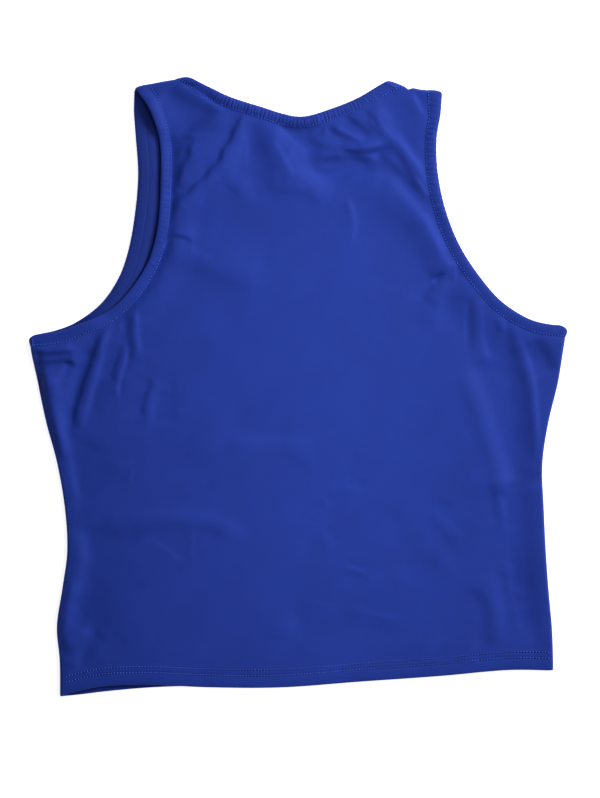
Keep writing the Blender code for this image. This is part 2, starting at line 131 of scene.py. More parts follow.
# The back's folds are drawn as turns of the cloth, one row a turn.  path: layout
# points; drop: how much lower the cloth lies on the right of the path's
# direction (left of it where negative), mm; width: half the width over which it
# turns; reach: how far to either side the rest dies away; ends: length over
# which it fades at both ends.
Turn = namedtuple("Turn", "name path drop width reach ends")
BACK_TURNS = [
    Turn("strap hollow", ((163.5, 87), (182.5, 95.5), (200, 104.5), (222, 113)), 1.77, 5.1, 23, 10),
    Turn("strap fall", ((222, 112), (210, 118), (197, 126), (186.5, 137), (181, 146), (175.5, 160.5)), 1.90, 3.6, 18, 14),
    Turn("strap fall b", ((224, 107), (213, 115), (199.5, 123), (186, 132)), 1.24, 6.1, 28, 7),
    Turn("left arm crease a", ((195, 138), (189, 149), (188.5, 157), (182, 165.5), (179, 177), (175, 186)), 2.60, 3.0, 15, 8),
    Turn("strap lip", ((176, 80), (187, 86), (198, 93), (211, 102), (225, 110.5)), -2.00, 1.7, 11, 9),
    Turn("strap lip tip", ((188.5, 78), (195.5, 87)), -0.38, 0.7, 3, 3),
    Turn("left arm rise", ((155, 94), (163, 107.5), (168.5, 120.5), (168.5, 136)), -3.90, 7.0, 32, 7),
    Turn("left pleat inner", ((209, 133), (200, 148.5), (193, 163.5), (185, 178.5)), 1.52, 7.7, 35, 13),
    Turn("left pleat", ((243, 114), (238.5, 123), (233.5, 132), (230, 142), (223, 150.5), (219.5, 162), (210.5, 169.5), (205.5, 178), (196, 184), (189, 193), (178, 199), (170, 205)), 2.55, 2.5, 12, 10),
    Turn("neck pleat", ((242.5, 118.5), (245, 140.5), (246.5, 165.5)), -1.35, 3.4, 16, 12),
    Turn("left pleat foot", ((228.5, 168.5), (216.5, 180.5), (204, 191), (192, 200)), -0.89, 2.5, 12, 21),
    Turn("left pleat outer", ((241, 139.5), (237, 154.5), (232.5, 170), (229, 180.5)), -1.84, 6.0, 27, 11),
    Turn("neck pleat line", ((245, 145), (243.5, 160)), 0.40, 0.9, 4, 2),
    Turn("neck fan a", ((256.5, 120.5), (260.5, 138.5), (265.5, 156.5), (269.5, 172.5)), 1.17, 6.0, 19, 8),
    Turn("neck fan b", ((275, 138.5), (285, 158.5), (295, 176.5)), -1.38, 2.8, 13, 7),
    Turn("neck fan c", ((274, 125.5), (285, 140), (293.5, 157.5), (301.5, 171), (312, 183.5)), -2.65, 5.7, 26, 10),
    Turn("neck fan line", ((279, 129), (288, 136), (300, 146.5)), -1.23, 2.3, 11, 4),
    Turn("neck middle", ((278, 125), (289, 128), (300, 128.5), (312, 127.5), (324.5, 124.5)), 2.66, 3.1, 14, 7),
    Turn("left chest a", ((222, 182), (231, 188.5), (240, 196)), 0.60, 2.5, 12, 3),
    Turn("left chest b", ((242.5, 178), (249.5, 189), (256, 203)), -1.25, 5.7, 26, 4),
    Turn("left arm crease b", ((170, 218), (176.5, 206.5), (184, 200)), -1.06, 2.5, 12, 6),
    Turn("left arm crease c", ((184, 205), (190, 209), (194, 212)), 0.57, 6.1, 28, 2),
    Turn("left arm hook", ((162, 248), (167, 240.5), (174, 236.5), (183, 237), (192, 241)), 1.70, 1.5, 8, 5),
    Turn("left arm hook end", ((189, 248), (199, 252), (214, 260)), -0.70, 3.2, 15, 4),
    Turn("left chest wide a", ((165, 263), (199.5, 270), (229, 282.5), (254, 290.5)), 1.62, 7.6, 35, 10),
    Turn("left chest wide b", ((201, 246.5), (236, 258.5), (271, 271.5)), -1.70, 15.3, 40, 16),
    Turn("right strap line a", ((413, 92), (416.5, 100.5), (420.5, 109), (424, 114.5)), -1.78, 2.1, 10, 4),
    Turn("right strap line b", ((422, 96.5), (425, 105)), 0.50, 1.6, 7, 2),
    Turn("right ridge", ((380, 106), (385.5, 116.5), (394, 130.5), (403.5, 143), (411, 154.5), (418.5, 164.5), (424, 175)), -2.23, 4.2, 20, 10),
    Turn("right ridge line", ((376, 118), (387, 131), (396.5, 140.5)), -0.87, 2.1, 7, 5),
    Turn("right ridge edge", ((396.5, 139.5), (405, 147), (411, 156), (417, 162.5), (421, 172), (426, 182)), -1.35, 1.6, 7, 8),
    Turn("right ridge foot", ((360.5, 121), (373, 129), (383, 139), (393.5, 149), (401.5, 159), (407, 169), (414, 181), (422, 192.5)), 1.25, 3.0, 14, 10),
    Turn("right neck a", ((344, 115), (354, 122), (364, 130), (374, 137)), 2.29, 2.8, 13, 9),
    Turn("right neck b", ((328, 126.5), (338.5, 134), (349.5, 139), (362, 145)), 2.29, 2.6, 12, 6),
    Turn("right neck c", ((335.5, 126), (346, 131.5), (356, 137.5), (368, 140.5)), -0.60, 1.3, 6, 6),
    Turn("right neck d", ((344, 124), (357, 132), (369, 139)), 0.48, 3.1, 14, 4),
    Turn("right neck e", ((366, 113), (374, 119), (380, 128)), 1.44, 2.2, 10, 5),
    Turn("right hollow a", ((340, 150), (352, 152), (364, 152), (376, 150), (390, 146)), 4.90, 2.6, 10, 12),
    Turn("right hollow b", ((308, 165), (322, 162.5), (336, 160.5), (350, 160), (364, 160), (378, 163)), 7.40, 4.6, 15, 16),
    Turn("right hollow lead", ((306, 141), (318, 145), (330, 147)), 0.90, 2.4, 10, 6),
    Turn("right hollow c", ((320.5, 175.5), (335.5, 173.5), (350, 171.5), (369.5, 173.5), (384.5, 175.5)), -1.55, 3.2, 15, 10),
    Turn("right arm line a", ((375.5, 151), (387.5, 161), (400, 173), (412, 185), (426.5, 197.5), (436.5, 207.5)), 1.10, 3.4, 16, 10),
    Turn("right arm line b", ((378, 148), (388.5, 155), (400, 166.5), (409, 178)), -0.31, 3.1, 6, 19),
    Turn("second ridge", ((385, 172), (397.5, 185.5), (409, 198.5), (419, 211), (428.5, 225), (436, 239), (443.5, 253.5), (449, 265.5), (452.5, 276)), -2.69, 4.2, 20, 27),
    Turn("second ridge edge", ((424, 212), (431.5, 224.5), (438.5, 238.5), (445, 253)), -1.86, 2.5, 12, 7),
    Turn("second hollow", ((370, 199), (386, 211), (401.5, 224.5), (415, 242)), 2.39, 13.8, 40, 10),
    Turn("right arm pocket", ((430, 279), (438, 275.5), (446, 273), (454, 264)), 2.60, 2.2, 10, 6),
    Turn("right arm end a", ((453, 257.5), (456, 272), (455.5, 282)), -0.90, 1.4, 6, 6),
    Turn("right arm end b", ((446, 275), (436, 284), (427.5, 294.5), (424, 304)), 1.96, 3.4, 16, 9),
    Turn("right arm end c", ((450, 285), (445, 295.5), (442, 310.5), (436.5, 323.5), (433, 331.5)), -1.70, 4.2, 20, 13),
    Turn("right arm line c", ((414.5, 176), (422, 186.5), (428, 197.5)), -1.17, 1.6, 7, 4),
    Turn("short crease a", ((350, 199.5), (354, 212), (355.5, 228), (352, 242)), -1.00, 2.1, 10, 7),
    Turn("short crease b", ((345, 202), (347, 215)), 0.48, 1.6, 7, 2),
    Turn("chest dent", ((263.5, 187.5), (283.5, 192), (301.5, 194.5), (321.5, 202)), 0.96, 3.4, 16, 9),
    Turn("centre ridge", ((296, 140), (304.5, 151.5), (311.5, 169), (324, 184), (336.5, 195.5)), -3.08, 7.6, 35, 10),
    Turn("centre dent", ((304, 131), (316, 140), (325.5, 145)), 1.74, 6.1, 28, 7),
    Turn("underarm roll a", ((33, 352), (47, 353.5), (62, 353), (74, 351)), 2.60, 2.2, 9, 6),
    Turn("underarm roll b", ((38, 361.5), (50, 362.5), (62, 361), (76, 363)), 2.80, 2.2, 10, 6),
    Turn("underarm swell", ((56, 372), (59, 390), (61, 410), (62.5, 440.5)), -1.72, 4.5, 14, 10),
    Turn("underarm nick", ((67, 360.5), (63.5, 369), (60, 379)), -1.31, 2.3, 11, 3),
    Turn("underarm slope", ((83, 345.5), (78.5, 360), (73.5, 375), (70.5, 389.5), (65.5, 404.5)), -2.40, 4.2, 20, 9),
    Turn("underarm fold a", ((104, 330.5), (98, 342.5), (93, 356.5), (87, 372.5), (81, 390.5), (76, 408), (73, 428)), 2.42, 3.0, 10, 10),
    Turn("underarm fold b", ((115, 322), (107.5, 338), (102.5, 356), (97, 376.5), (91.5, 394.5), (87, 412.5), (82, 428.5)), -1.71, 2.5, 8, 27),
    Turn("underarm fold c", ((133, 312), (130, 330), (132, 350), (131, 362)), 1.56, 3.0, 14, 8),
    Turn("underarm fold d", ((123, 344.5), (118.5, 357.5), (114.5, 370), (112, 382)), 1.54, 2.5, 12, 6),
    Turn("underarm fold e", ((123.5, 318), (121, 330)), -0.55, 1.4, 6, 2),
    Turn("underarm fold f", ((128, 350), (124, 368), (119, 385), (119, 398)), -1.11, 1.4, 4, 8),
    Turn("underarm fold g", ((138, 310), (138.5, 330), (140, 352)), -0.91, 1.6, 8, 6),
    Turn("left rib a", ((153, 378.5), (148, 392), (143.5, 408), (143.5, 418.5)), 1.20, 2.5, 12, 6),
    Turn("left rib b", ((157, 388.5), (153.5, 405.5), (152.5, 425)), -1.04, 3.4, 16, 6),
    Turn("left rib c", ((174, 378), (175, 425)), 0.40, 3.4, 16, 7),
    Turn("left edge top", ((39.5, 360), (41, 374), (44, 390)), 3.40, 3.8, 12, 4),
    Turn("left edge a", ((41, 370), (44, 392), (49.5, 415), (55.5, 440), (59.5, 462)), 4.20, 3.8, 13, 10),
    Turn("left edge low", ((70, 580), (64, 598), (60, 616), (59.5, 632), (62.5, 652)), 3.80, 3.6, 11, 8),
    Turn("right streak a", ((467, 300), (465, 315), (465, 330), (464.5, 348)), -0.60, 1.2, 5, 12),
    Turn("right streak b", ((473, 298), (472, 315), (472.5, 335), (472.5, 350)), 0.91, 2.5, 12, 8),
    Turn("right streak c", ((481, 302), (481.5, 318), (483, 335), (486.5, 352.5), (491, 362.5)), -1.24, 3.0, 10, 9),
    Turn("right streak d", ((496, 320), (498, 332)), 0.57, 1.3, 6, 2),
    Turn("right streak e", ((504, 318), (504, 332)), -0.77, 1.3, 6, 2),
    Turn("right side a", ((510, 325), (512.5, 345.5), (518.5, 365.5), (525.5, 385.5), (529, 410), (532, 440), (532.5, 465)), 1.72, 4.2, 20, 10),
    Turn("right side b", ((514, 360), (519.5, 400), (522.5, 440), (523, 480)), 2.17, 7.6, 24, 10),
    Turn("right edge fold", ((516, 332.5), (524, 348.5), (530, 365), (534.5, 385), (536.5, 405), (538, 430), (537, 450)), -1.64, 2.5, 12, 27),
    Turn("right corner", ((537, 337), (545, 350), (555, 371)), 2.60, 5.0, 22, 4),
    Turn("right side ridge", ((470, 364), (476, 379.5), (481.5, 394.5), (488, 411.5), (492.5, 430), (498, 448), (503.5, 466), (509, 482), (512, 495.5)), -3.12, 6.9, 32, 10),
    Turn("right side foot", ((457, 374.5), (462.5, 387.5), (468.5, 405), (476, 425), (483, 445.5), (489, 462.5), (494, 480.5), (497.5, 500.5)), 0.76, 4.6, 15, 27),
    Turn("right side tail", ((501, 494.5), (504.5, 510), (506, 530)), -0.45, 2.5, 8, 5),
    Turn("small tick a", ((465, 474), (458.5, 485), (454, 494.5)), -0.29, 1.3, 6, 4),
    Turn("right middle patch", ((438, 498), (446, 503), (452, 509)), 0.46, 3.4, 16, 3),
    Turn("left edge b", ((62.5, 424.5), (68.5, 449.5), (72.5, 469.5), (76.5, 489.5), (78.5, 504.5)), -1.29, 3.4, 11, 10),
    Turn("left edge c", ((79.5, 525.5), (83.5, 545), (85, 560), (79.5, 580), (74, 600), (70.5, 615), (67, 626.5)), -2.60, 5.1, 23, 10),
    Turn("left edge d", ((93.5, 551), (88.5, 571), (83.5, 589), (77.5, 603), (76.5, 620)), -0.47, 4.6, 21, 10),
    Turn("left hook", ((92, 628), (80, 631.5), (69, 638), (62, 650)), 2.60, 3.6, 14, 9),
    Turn("left tuck a", ((94.5, 624.5), (87, 633), (81.5, 647), (78.5, 659), (76.5, 669.5)), -2.20, 4.2, 18, 7),
    Turn("left tuck b", ((96, 640), (91, 650), (87.5, 660), (84, 671)), 1.50, 4.4, 18, 12),
    Turn("left belly a", ((113, 452.5), (106.5, 468), (115, 480)), 1.85, 13.8, 40, 9),
    Turn("left belly tick", ((134, 466), (132.5, 475), (131, 484.5)), -0.34, 1.0, 5, 3),
    Turn("memory b top", ((125, 515), (150, 512), (180, 513), (210, 516), (232, 523), (246, 535)), -1.19, 5.2, 24, 16),
    Turn("memory b foot", ((104, 533.5), (130.5, 531.5), (160.5, 526.5), (190, 526.5), (211, 529.5), (228, 539)), 0.93, 4.6, 21, 10),
    Turn("memory b low", ((97, 529.5), (120.5, 536.5), (144.5, 533.5)), 0.33, 4.6, 21, 8),
    Turn("left arc", ((128.5, 547), (148, 540), (164.5, 546.5), (176, 555.5), (187, 561)), -0.37, 2.5, 8, 10),
    Turn("left upright a", ((194, 532), (193.5, 548), (192, 566)), -0.25, 1.3, 6, 5),
    Turn("left upright b", ((185.5, 528), (188, 545)), 0.33, 3.1, 14, 4),
    Turn("left low patch", ((100, 594), (102, 612.5), (109, 628)), 0.93, 9.2, 40, 5),
    Turn("left low patch b", ((110, 633), (122.5, 641), (132, 652)), 1.17, 9.2, 40, 5),
    Turn("left mid patch", ((180, 450), (199.5, 459.5), (221.5, 465.5)), 1.13, 12.2, 40, 11),
    Turn("memory a top left", ((76, 437), (110, 440.5), (150, 441.5)), 0.60, 9.2, 40, 10),
    Turn("memory a top", ((225, 436), (260, 439.5), (300, 439), (317.5, 441.5)), -1.36, 5.1, 23, 16),
    Turn("middle patch a", ((279, 455.5), (299, 459.5), (311, 474)), 0.72, 5.1, 23, 6),
    Turn("middle patch b", ((350, 456), (365.5, 463.5), (383, 471.5)), 0.51, 8.0, 37, 6),
    Turn("small tick b", ((345, 486), (354, 488), (363, 491)), -0.46, 2.4, 11, 3),
    Turn("small tick c", ((355, 477), (365.5, 481.5)), 0.21, 1.8, 8, 2),
    Turn("middle patch c", ((335, 492), (349.5, 501)), 0.33, 7.7, 35, 4),
    Turn("small tick d", ((324, 494), (327.5, 504)), -0.50, 2.1, 10, 2),
    Turn("small tick e", ((299.5, 521.5), (313, 523)), -0.20, 1.3, 6, 2),
    Turn("middle arc a", ((323, 529.5), (329, 539), (334, 546.5)), -0.41, 2.9, 13, 3),
    Turn("middle arc b", ((316, 536), (322, 548), (326, 560)), 0.39, 5.4, 25, 4),
    Turn("middle arc c", ((302, 539), (306.5, 554), (310, 567.5)), -0.27, 3.4, 16, 4),
    Turn("wrinkle top", ((344.5, 566.5), (355.5, 568), (368, 573)), -0.46, 1.4, 7, 4),
    Turn("wrinkle foot", ((343, 571), (355.5, 573.5), (370, 580)), 0.42, 2.6, 12, 4),
    Turn("low diagonal a", ((352.5, 607.5), (374.5, 613), (400.5, 617.5)), -0.47, 2.1, 10, 13),
    Turn("low diagonal b", ((363.5, 613), (377.5, 620), (393, 629), (404.5, 638.5)), 0.68, 6.9, 32, 12),
    Turn("low patch a", ((282.5, 614.5), (291.5, 624.5), (297.5, 630.5)), -1.51, 9.2, 40, 3),
    Turn("low patch b", ((267, 635.5), (281.5, 638)), 0.32, 3.2, 15, 2),
    Turn("low tick", ((318, 604), (331, 604)), -0.24, 1.4, 6, 2),
    Turn("right low a", ((489.5, 477), (494.5, 498.5), (497.5, 514.5), (498.5, 526.5)), 0.77, 3.0, 14, 8),
    Turn("right low b", ((505.5, 479.5), (503, 500), (504, 515), (504.5, 532)), -0.67, 4.6, 21, 8),
    Turn("right low c", ((509, 543), (508.5, 560), (508.5, 576.5)), -0.39, 2.5, 12, 5),
    Turn("right low wide", ((522.5, 479.5), (527.5, 515), (530.5, 550), (533.5, 580), (539, 606.5)), 2.80, 9.2, 40, 10),
    Turn("right low d", ((510, 560), (511, 578.5), (511.5, 592.5)), -1.00, 3.0, 14, 5),
    Turn("right low e", ((514, 598.5), (518, 614.5), (521.5, 633)), -0.58, 2.5, 12, 9),
    Turn("right bottom ridge", ((494, 572), (497, 590), (499.5, 605.5), (502, 620.5), (502, 633.5), (496.5, 646.5)), -1.83, 4.6, 21, 10),
    Turn("right bottom foot", ((466, 587), (477, 593.5), (484.5, 602), (488, 616), (487.5, 631), (485, 648)), 1.53, 4.6, 15, 16),
    Turn("right bottom edge", ((531, 596), (535, 612.5), (538.5, 630.5), (540.5, 648)), 2.04, 6.1, 26, 12),
    Turn("hem swell a", ((474, 638), (476.5, 650.5), (477.5, 664.5)), -1.00, 3.4, 16, 4),
    Turn("hem dent a", ((458, 649), (460, 664.5)), 0.48, 4.6, 15, 2),
    Turn("hem swell b", ((436.5, 648), (439, 664)), -0.64, 3.4, 16, 2),
    Turn("hem dent b", ((421.5, 644.5), (427, 660)), 0.76, 6.1, 28, 2),
    Turn("diagonal a", ((434, 505.5), (445, 520), (456, 529), (467.5, 539.5)), -0.29, 3.4, 7, 7),
    Turn("diagonal b", ((428, 516), (440.5, 529.5), (452, 544.5), (457, 555.5)), 0.34, 3.4, 11, 8),
    Turn("diagonal c", ((415, 522), (425.5, 534.5), (436.5, 548.5), (449, 561), (461, 577.5)), -0.34, 4.0, 13, 10),
    Turn("diagonal d", ((396.5, 506.5), (400.5, 522.5), (407, 538.5)), 0.42, 5.7, 26, 8),
    Turn("diagonal e", ((424, 556), (433.5, 566.5), (439, 580.5)), 0.26, 4.2, 20, 5),
    Turn("right mid patch", ((402, 566), (408.5, 585.5)), -0.71, 5.7, 26, 3),
]
Fold = namedtuple("Fold", "name path height left right form start end")
# The back's edge at the left armhole settles on the strip of the front below it.
BACK_FOLDS = [
    Fold("armhole edge", ((154, 112), (162, 160), (161, 206), (153, 250), (137, 284), (112, 308), (84, 322)), -2.5, 15.0, 15.0, 2.4, 26, 24),
]
# The front's folds, on its outer face, as ridges: how far it stands off the
# table; left, right: half widths to either side; start, end: how it rises and dies.
FRONT_FOLDS = [
    Fold("armhole strip", ((141, 112), (146, 150), (146, 200), (138, 246), (118, 284), (94, 306), (70, 318)), 1.3, 16.0, 16.0, 2.0, 24, 20),
    Fold("front neck pleat a", ((262, 180), (256, 214), (246, 262)), 1.3, 7.0, 8.0, 2.0, 8, 40),
    Fold("front neck pleat b", ((322, 178), (330, 220), (344, 268)), 1.1, 8.0, 7.0, 2.0, 8, 40),
    Fold("front underarm left", ((112, 322), (94, 368), (80, 420)), 1.2, 7.0, 8.0, 2.0, 8, 30),
    Fold("front underarm right", ((486, 322), (500, 372), (508, 436)), 1.4, 8.0, 7.0, 2.0, 8, 34),
    Fold("front side left", ((96, 470), (92, 530), (98, 590)), 1.0, 9.0, 7.0, 2.0, 30, 30),
    Fold("front side right", ((514, 500), (516, 550), (508, 610)), 1.1, 8.0, 9.0, 2.0, 30, 30),
    Fold("front chest", ((220, 250), (206, 300), (198, 362)), 0.9, 10.0, 9.0, 2.0, 30, 40),
    Fold("front chest b", ((384, 246), (398, 300), (402, 350)), 0.9, 9.0, 10.0, 2.0, 30, 40),
    Fold("front low", ((250, 560), (300, 580), (366, 590)), 0.7, 12.0, 10.0, 2.0, 40, 40),
    Fold("front middle", ((300, 400), (296, 450), (304, 500)), 0.6, 12.0, 12.0, 2.0, 40, 40),
]

# How each bound edge is drawn up: share of the back's edge, how far the
# binding stands off, height and pitch of its puckers.
Pucker = namedtuple("Pucker", "share puff height pitch")
NECK_PUCKERS = [
    Pucker(0.00, 0.8, 0.40, 3.0), Pucker(0.12, 1.0, 0.56, 2.7), Pucker(0.35, 1.0, 0.62, 2.9), Pucker(0.50, 1.0, 0.58, 3.1),
    Pucker(0.70, 1.0, 0.54, 2.9), Pucker(0.88, 0.9, 0.34, 3.0), Pucker(1.00, 0.7, 0.12, 3.2),
]
ARM_PUCKERS_LEFT = [
    Pucker(0.00, 0.5, 0.05, 3.0), Pucker(0.25, 0.5, 0.09, 3.0), Pucker(0.45, 0.6, 0.24, 4.2), Pucker(0.60, 0.8, 0.40, 4.6),
    Pucker(0.78, 0.8, 0.32, 4.2), Pucker(0.90, 0.8, 0.10, 4.0), Pucker(1.00, 0.7, 0.05, 3.6),
]
ARM_PUCKERS_RIGHT = [
    Pucker(0.00, 0.6, 0.12, 3.2), Pucker(0.25, 0.7, 0.22, 3.4), Pucker(0.45, 0.8, 0.36, 4.0), Pucker(0.62, 1.0, 0.58, 4.8),
    Pucker(0.85, 1.0, 0.64, 4.9), Pucker(1.00, 0.9, 0.34, 4.4),
]


# ------------------------------------------------------------------- curves
def smooth(points, per=24):
    """Dense centripetal Catmull-Rom curve through the rows of a table."""
    p = np.array(points, float)
    if len(p) == 2:
        return p[0] + (p[1] - p[0]) * np.linspace(0, 1, per + 1)[:, None]
    p = np.vstack([2 * p[0] - p[1], p, 2 * p[-1] - p[-2]])
    out = []
    for i in range(1, len(p) - 2):
        a, b, c, d = p[i - 1], p[i], p[i + 1], p[i + 2]
        t0 = 0.0
        t1 = t0 + np.linalg.norm(b - a) ** 0.5
        t2 = t1 + np.linalg.norm(c - b) ** 0.5
        t3 = t2 + np.linalg.norm(d - c) ** 0.5
        t = (t1 + (t2 - t1) * np.arange(per) / per)[:, None]
        a1 = (t1 - t) / (t1 - t0) * a + (t - t0) / (t1 - t0) * b
        a2 = (t2 - t) / (t2 - t1) * b + (t - t1) / (t2 - t1) * c
        a3 = (t3 - t) / (t3 - t2) * c + (t - t2) / (t3 - t2) * d
        b1 = (t2 - t) / (t2 - t0) * a1 + (t - t0) / (t2 - t0) * a2
        b2 = (t3 - t) / (t3 - t1) * a2 + (t - t1) / (t3 - t1) * a3
        out.append((t2 - t) / (t2 - t1) * b1 + (t - t1) / (t2 - t1) * b2)
    out.append(p[-2][None])
    return np.vstack(out)


def lengths(poly):
    return np.concatenate([[0.0], np.cumsum(np.linalg.norm(np.diff(poly, axis=0), axis=1))])


def along(poly, shares):
    """Points at the given shares of a polyline's length."""
    s = lengths(poly)
    q = np.asarray(shares, float) * s[-1]
    return np.column_stack([np.interp(q, s, poly[:, k]) for k in range(poly.shape[1])])


def ease(t):
    t = np.clip(t, 0.0, 1.0)
    return t * t * (3 - 2 * t)


def nearest(poly, x, y):
    """Distance from a polyline, offset to its side (left is positive), and place along it."""
    a, b = poly[:-1, :2], poly[1:, :2]
    ab = b - a
    size = np.maximum((ab * ab).sum(1), 1e-12)
    start = lengths(poly[:, :2])[:-1]
    run = np.sqrt(size)
    points = np.column_stack([x, y])
    far, side, place = np.empty(len(points)), np.empty(len(points)), np.empty(len(points))
    for low in range(0, len(points), 3000):
        q = points[low:low + 3000, None, :] - a[None]
        t = np.clip((q * ab).sum(2) / size, 0, 1)
        v = q - t[..., None] * ab
        d = (v * v).sum(2)
        k = d.argmin(1)
        r = np.arange(len(k))
        far[low:low + 3000] = np.sqrt(d[r, k])
        side[low:low + 3000] = (ab[k, 0] * v[r, k, 1] - ab[k, 1] * v[r, k, 0]) / run[k]
        place[low:low + 3000] = start[k] + t[r, k] * run[k]
    return far, side, place


def grid_to_mm(path):
    return np.array([((u - ORIGIN[0]) * STEP, (ORIGIN[1] - v) * STEP) for u, v in path])


body = smooth([(r.y, r.left, r.right) for r in BODY])
hem = smooth([(r.x, r.back, r.front) for r in HEM])
crest = smooth([(r.x, r.y) for r in SHOULDER[:5]]), smooth([(r.x, r.y) for r in SHOULDER[5:]])


def side_x(y, hand):
    return np.interp(y, body[:, 0], body[:, 1 if hand < 0 else 2])


def hem_y(x, face):
    return np.interp(x, hem[:, 0], hem[:, 1 if face > 0 else 2])


def fold_y(x):
    """Centre line of the shoulder fold."""
    x = np.asarray(x, float)
    y = np.where(x < 0, np.interp(x, crest[0][:, 0], crest[0][:, 1]), np.interp(x, crest[1][:, 0], crest[1][:, 1]))
    for d in DIPS:
        y = y + d.dy * np.exp(-((x - d.x) / d.half) ** 2)
    return y - CREST_IN


# ------------------------------------------------------------------- relief
class Relief:
    """The folds of one face, each along its own line: ridges, and turns of the cloth."""

    def __init__(self, folds, turns):
        self.folds = [(f, smooth(grid_to_mm(f.path), per=8)) for f in folds]
        self.turns = [(f, smooth(grid_to_mm(f.path), per=5)) for f in turns]

    def at(self, x, y):
        z = np.zeros(len(x))
        for f, path in self.folds + self.turns:
            ridge = hasattr(f, "height")
            reach = 3.4 * max(f.left, f.right) if ridge else 2.3 * f.reach
            low, high = path.min(0) - reach, path.max(0) + reach
            i = np.nonzero((x > low[0]) & (x < high[0]) & (y > low[1]) & (y < high[1]))[0]
            if not len(i):
                continue
            d, off, place = nearest(path, x[i], y[i])
            total = lengths(path)[-1]
            if ridge:
                width = np.where(off > 0, f.left, f.right)
                q = np.sqrt(d * d + 0.64) - 0.8
                z[i] += f.height * np.exp(-(q / width) ** f.form) * ease(place / f.start) * ease((total - place) / f.end)
            else:
                fade = ease((place / f.ends + 0.35) / 1.35) * ease(((total - place) / f.ends + 0.35) / 1.35)
                z[i] += 0.5 * f.drop * np.tanh(1.15 * off / f.width) * np.exp(-(d / f.reach) ** 2) * fade
        return z


def drift(x, y, scale, seed):
    """Slow unevenness, from a few crossing waves."""
    out = np.zeros(np.shape(x))
    for k in range(5):
        turn = seed * 1.7 + k * 2.399
        wave = scale * (0.7 + 0.23 * k)
        out = out + np.sin((x * math.cos(turn) + y * math.sin(turn)) * 2 * math.pi / wave + seed * 3.1 + 1.9 * k)
    return out / 5


class Face:
    """The back (side = 1) or the front (side = -1), its own cut and its folds."""

    def __init__(self, side, folds, turns):
        self.side = side
        pick = (lambda r: (r.back_x, r.back_y)) if side > 0 else (lambda r: (r.front_x, r.front_y))
        self.arm = {-1: smooth([pick(r) for r in ARM_LEFT]), 1: smooth([pick(r) for r in ARM_RIGHT])}
        self.neck = smooth([pick(r) for r in NECK])
        self.relief = Relief(folds, turns)

    def lift(self, x, y):
        """What the folds add; they die at the shoulder fold and at the underarm corners."""
        x, y = np.atleast_1d(np.asarray(x, float)), np.atleast_1d(np.asarray(y, float))
        z = self.relief.at(x, y)
        z += 0.06 * drift(x, y, 64.0, 1.0 + self.side) + 0.03 * drift(x, y, 27.0, 4.0 + self.side)
        if self.side > 0:
            for poly, depth in ((self.arm[-1], GROOVE.left), (self.arm[1], GROOVE.right), (self.neck, GROOVE.neck)):
                far = nearest(poly[::2], x, y)[0]
                z -= depth * np.where(far < SEAM, (far / SEAM) ** 1.3, np.exp(-((far - SEAM) / 4.0) ** 2))
        if self.side < 0:
            z = np.maximum(z, 0.0)
        z *= np.where((np.abs(x) > 55.0) & (y > 200.0), ease((fold_y(x) - y) / 5.0), 1.0)
        for hand in (-1, 1):
            corner = self.arm[hand][0]
            z *= ease((np.hypot(x - side_x(corner[1], hand), y - corner[1]) - 4.0) / 12.0)
        return z

    def height(self, x, y):
        """Outer face over the table, folds and all."""
        x, y = np.atleast_1d(np.asarray(x, float)), np.atleast_1d(np.asarray(y, float))
        reach = 30.0 if self.side > 0 else 14.0
        loose = np.ones(len(x))
        for poly in (self.arm[-1], self.arm[1], self.neck):
            loose *= ease((nearest(poly[::2], x, y)[0] - INSET - 0.4) / reach)
        strap = np.where((np.abs(x) > 60.0) & (y > 180.0), ease((y - (fold_y(x) - 45.0)) / 20.0), 0.0)
        tied = 1 - loose * (1 - strap)
        level = FOLD_Z + self.side * FOLD_R
        lift = self.lift(x, y)
        if self.side < 0:
            return level * tied + lift
        z = BACK_LOW + (BACK_YOKE - BACK_LOW) * ease((y - YOKE_Y + 40.0) / 40.0)
        over_hem = 1 - ease((y - hem_y(x, 1) - HEM_ROW - 1.0) / 26.0)
        z = z + (BACK_HEM - z) * over_hem
        z = z + (level - z) * tied
        up = y - hem_y(x, 1)
        rows = sum(np.exp(-((up - row) / 0.8) ** 2) for row in HEM_STITCHES)
        z = z - 0.26 * rows + 0.22 * (1 - ease((up - HEM_STITCHES[0] - 0.6) / 1.8))
        out = z + lift * (1 - 0.4 * over_hem)
        # never through the front cloth or the neck binding below
        far = nearest(FRONT.neck[::2], x, y)[0]
        floor = 2.35 + 1.25 * (1 - ease((far - 11.0) / 9.0))
        return floor + np.logaddexp(0.0, (out - floor) * 6.0) / 6.0


BACK, FRONT = Face(1, BACK_FOLDS, BACK_TURNS), Face(-1, FRONT_FOLDS, [])


def side_fold(y, hand):
    """Centre (x, z) and outer radius of the side fold at each height."""
    x = side_x(y, hand) - 3.0 * hand
    top, low = BACK.height(x, y), FRONT.height(x, y)
    r = (top - low) / 2
    return side_x(y, hand) - hand * (r + 0.3), (top + low) / 2, r


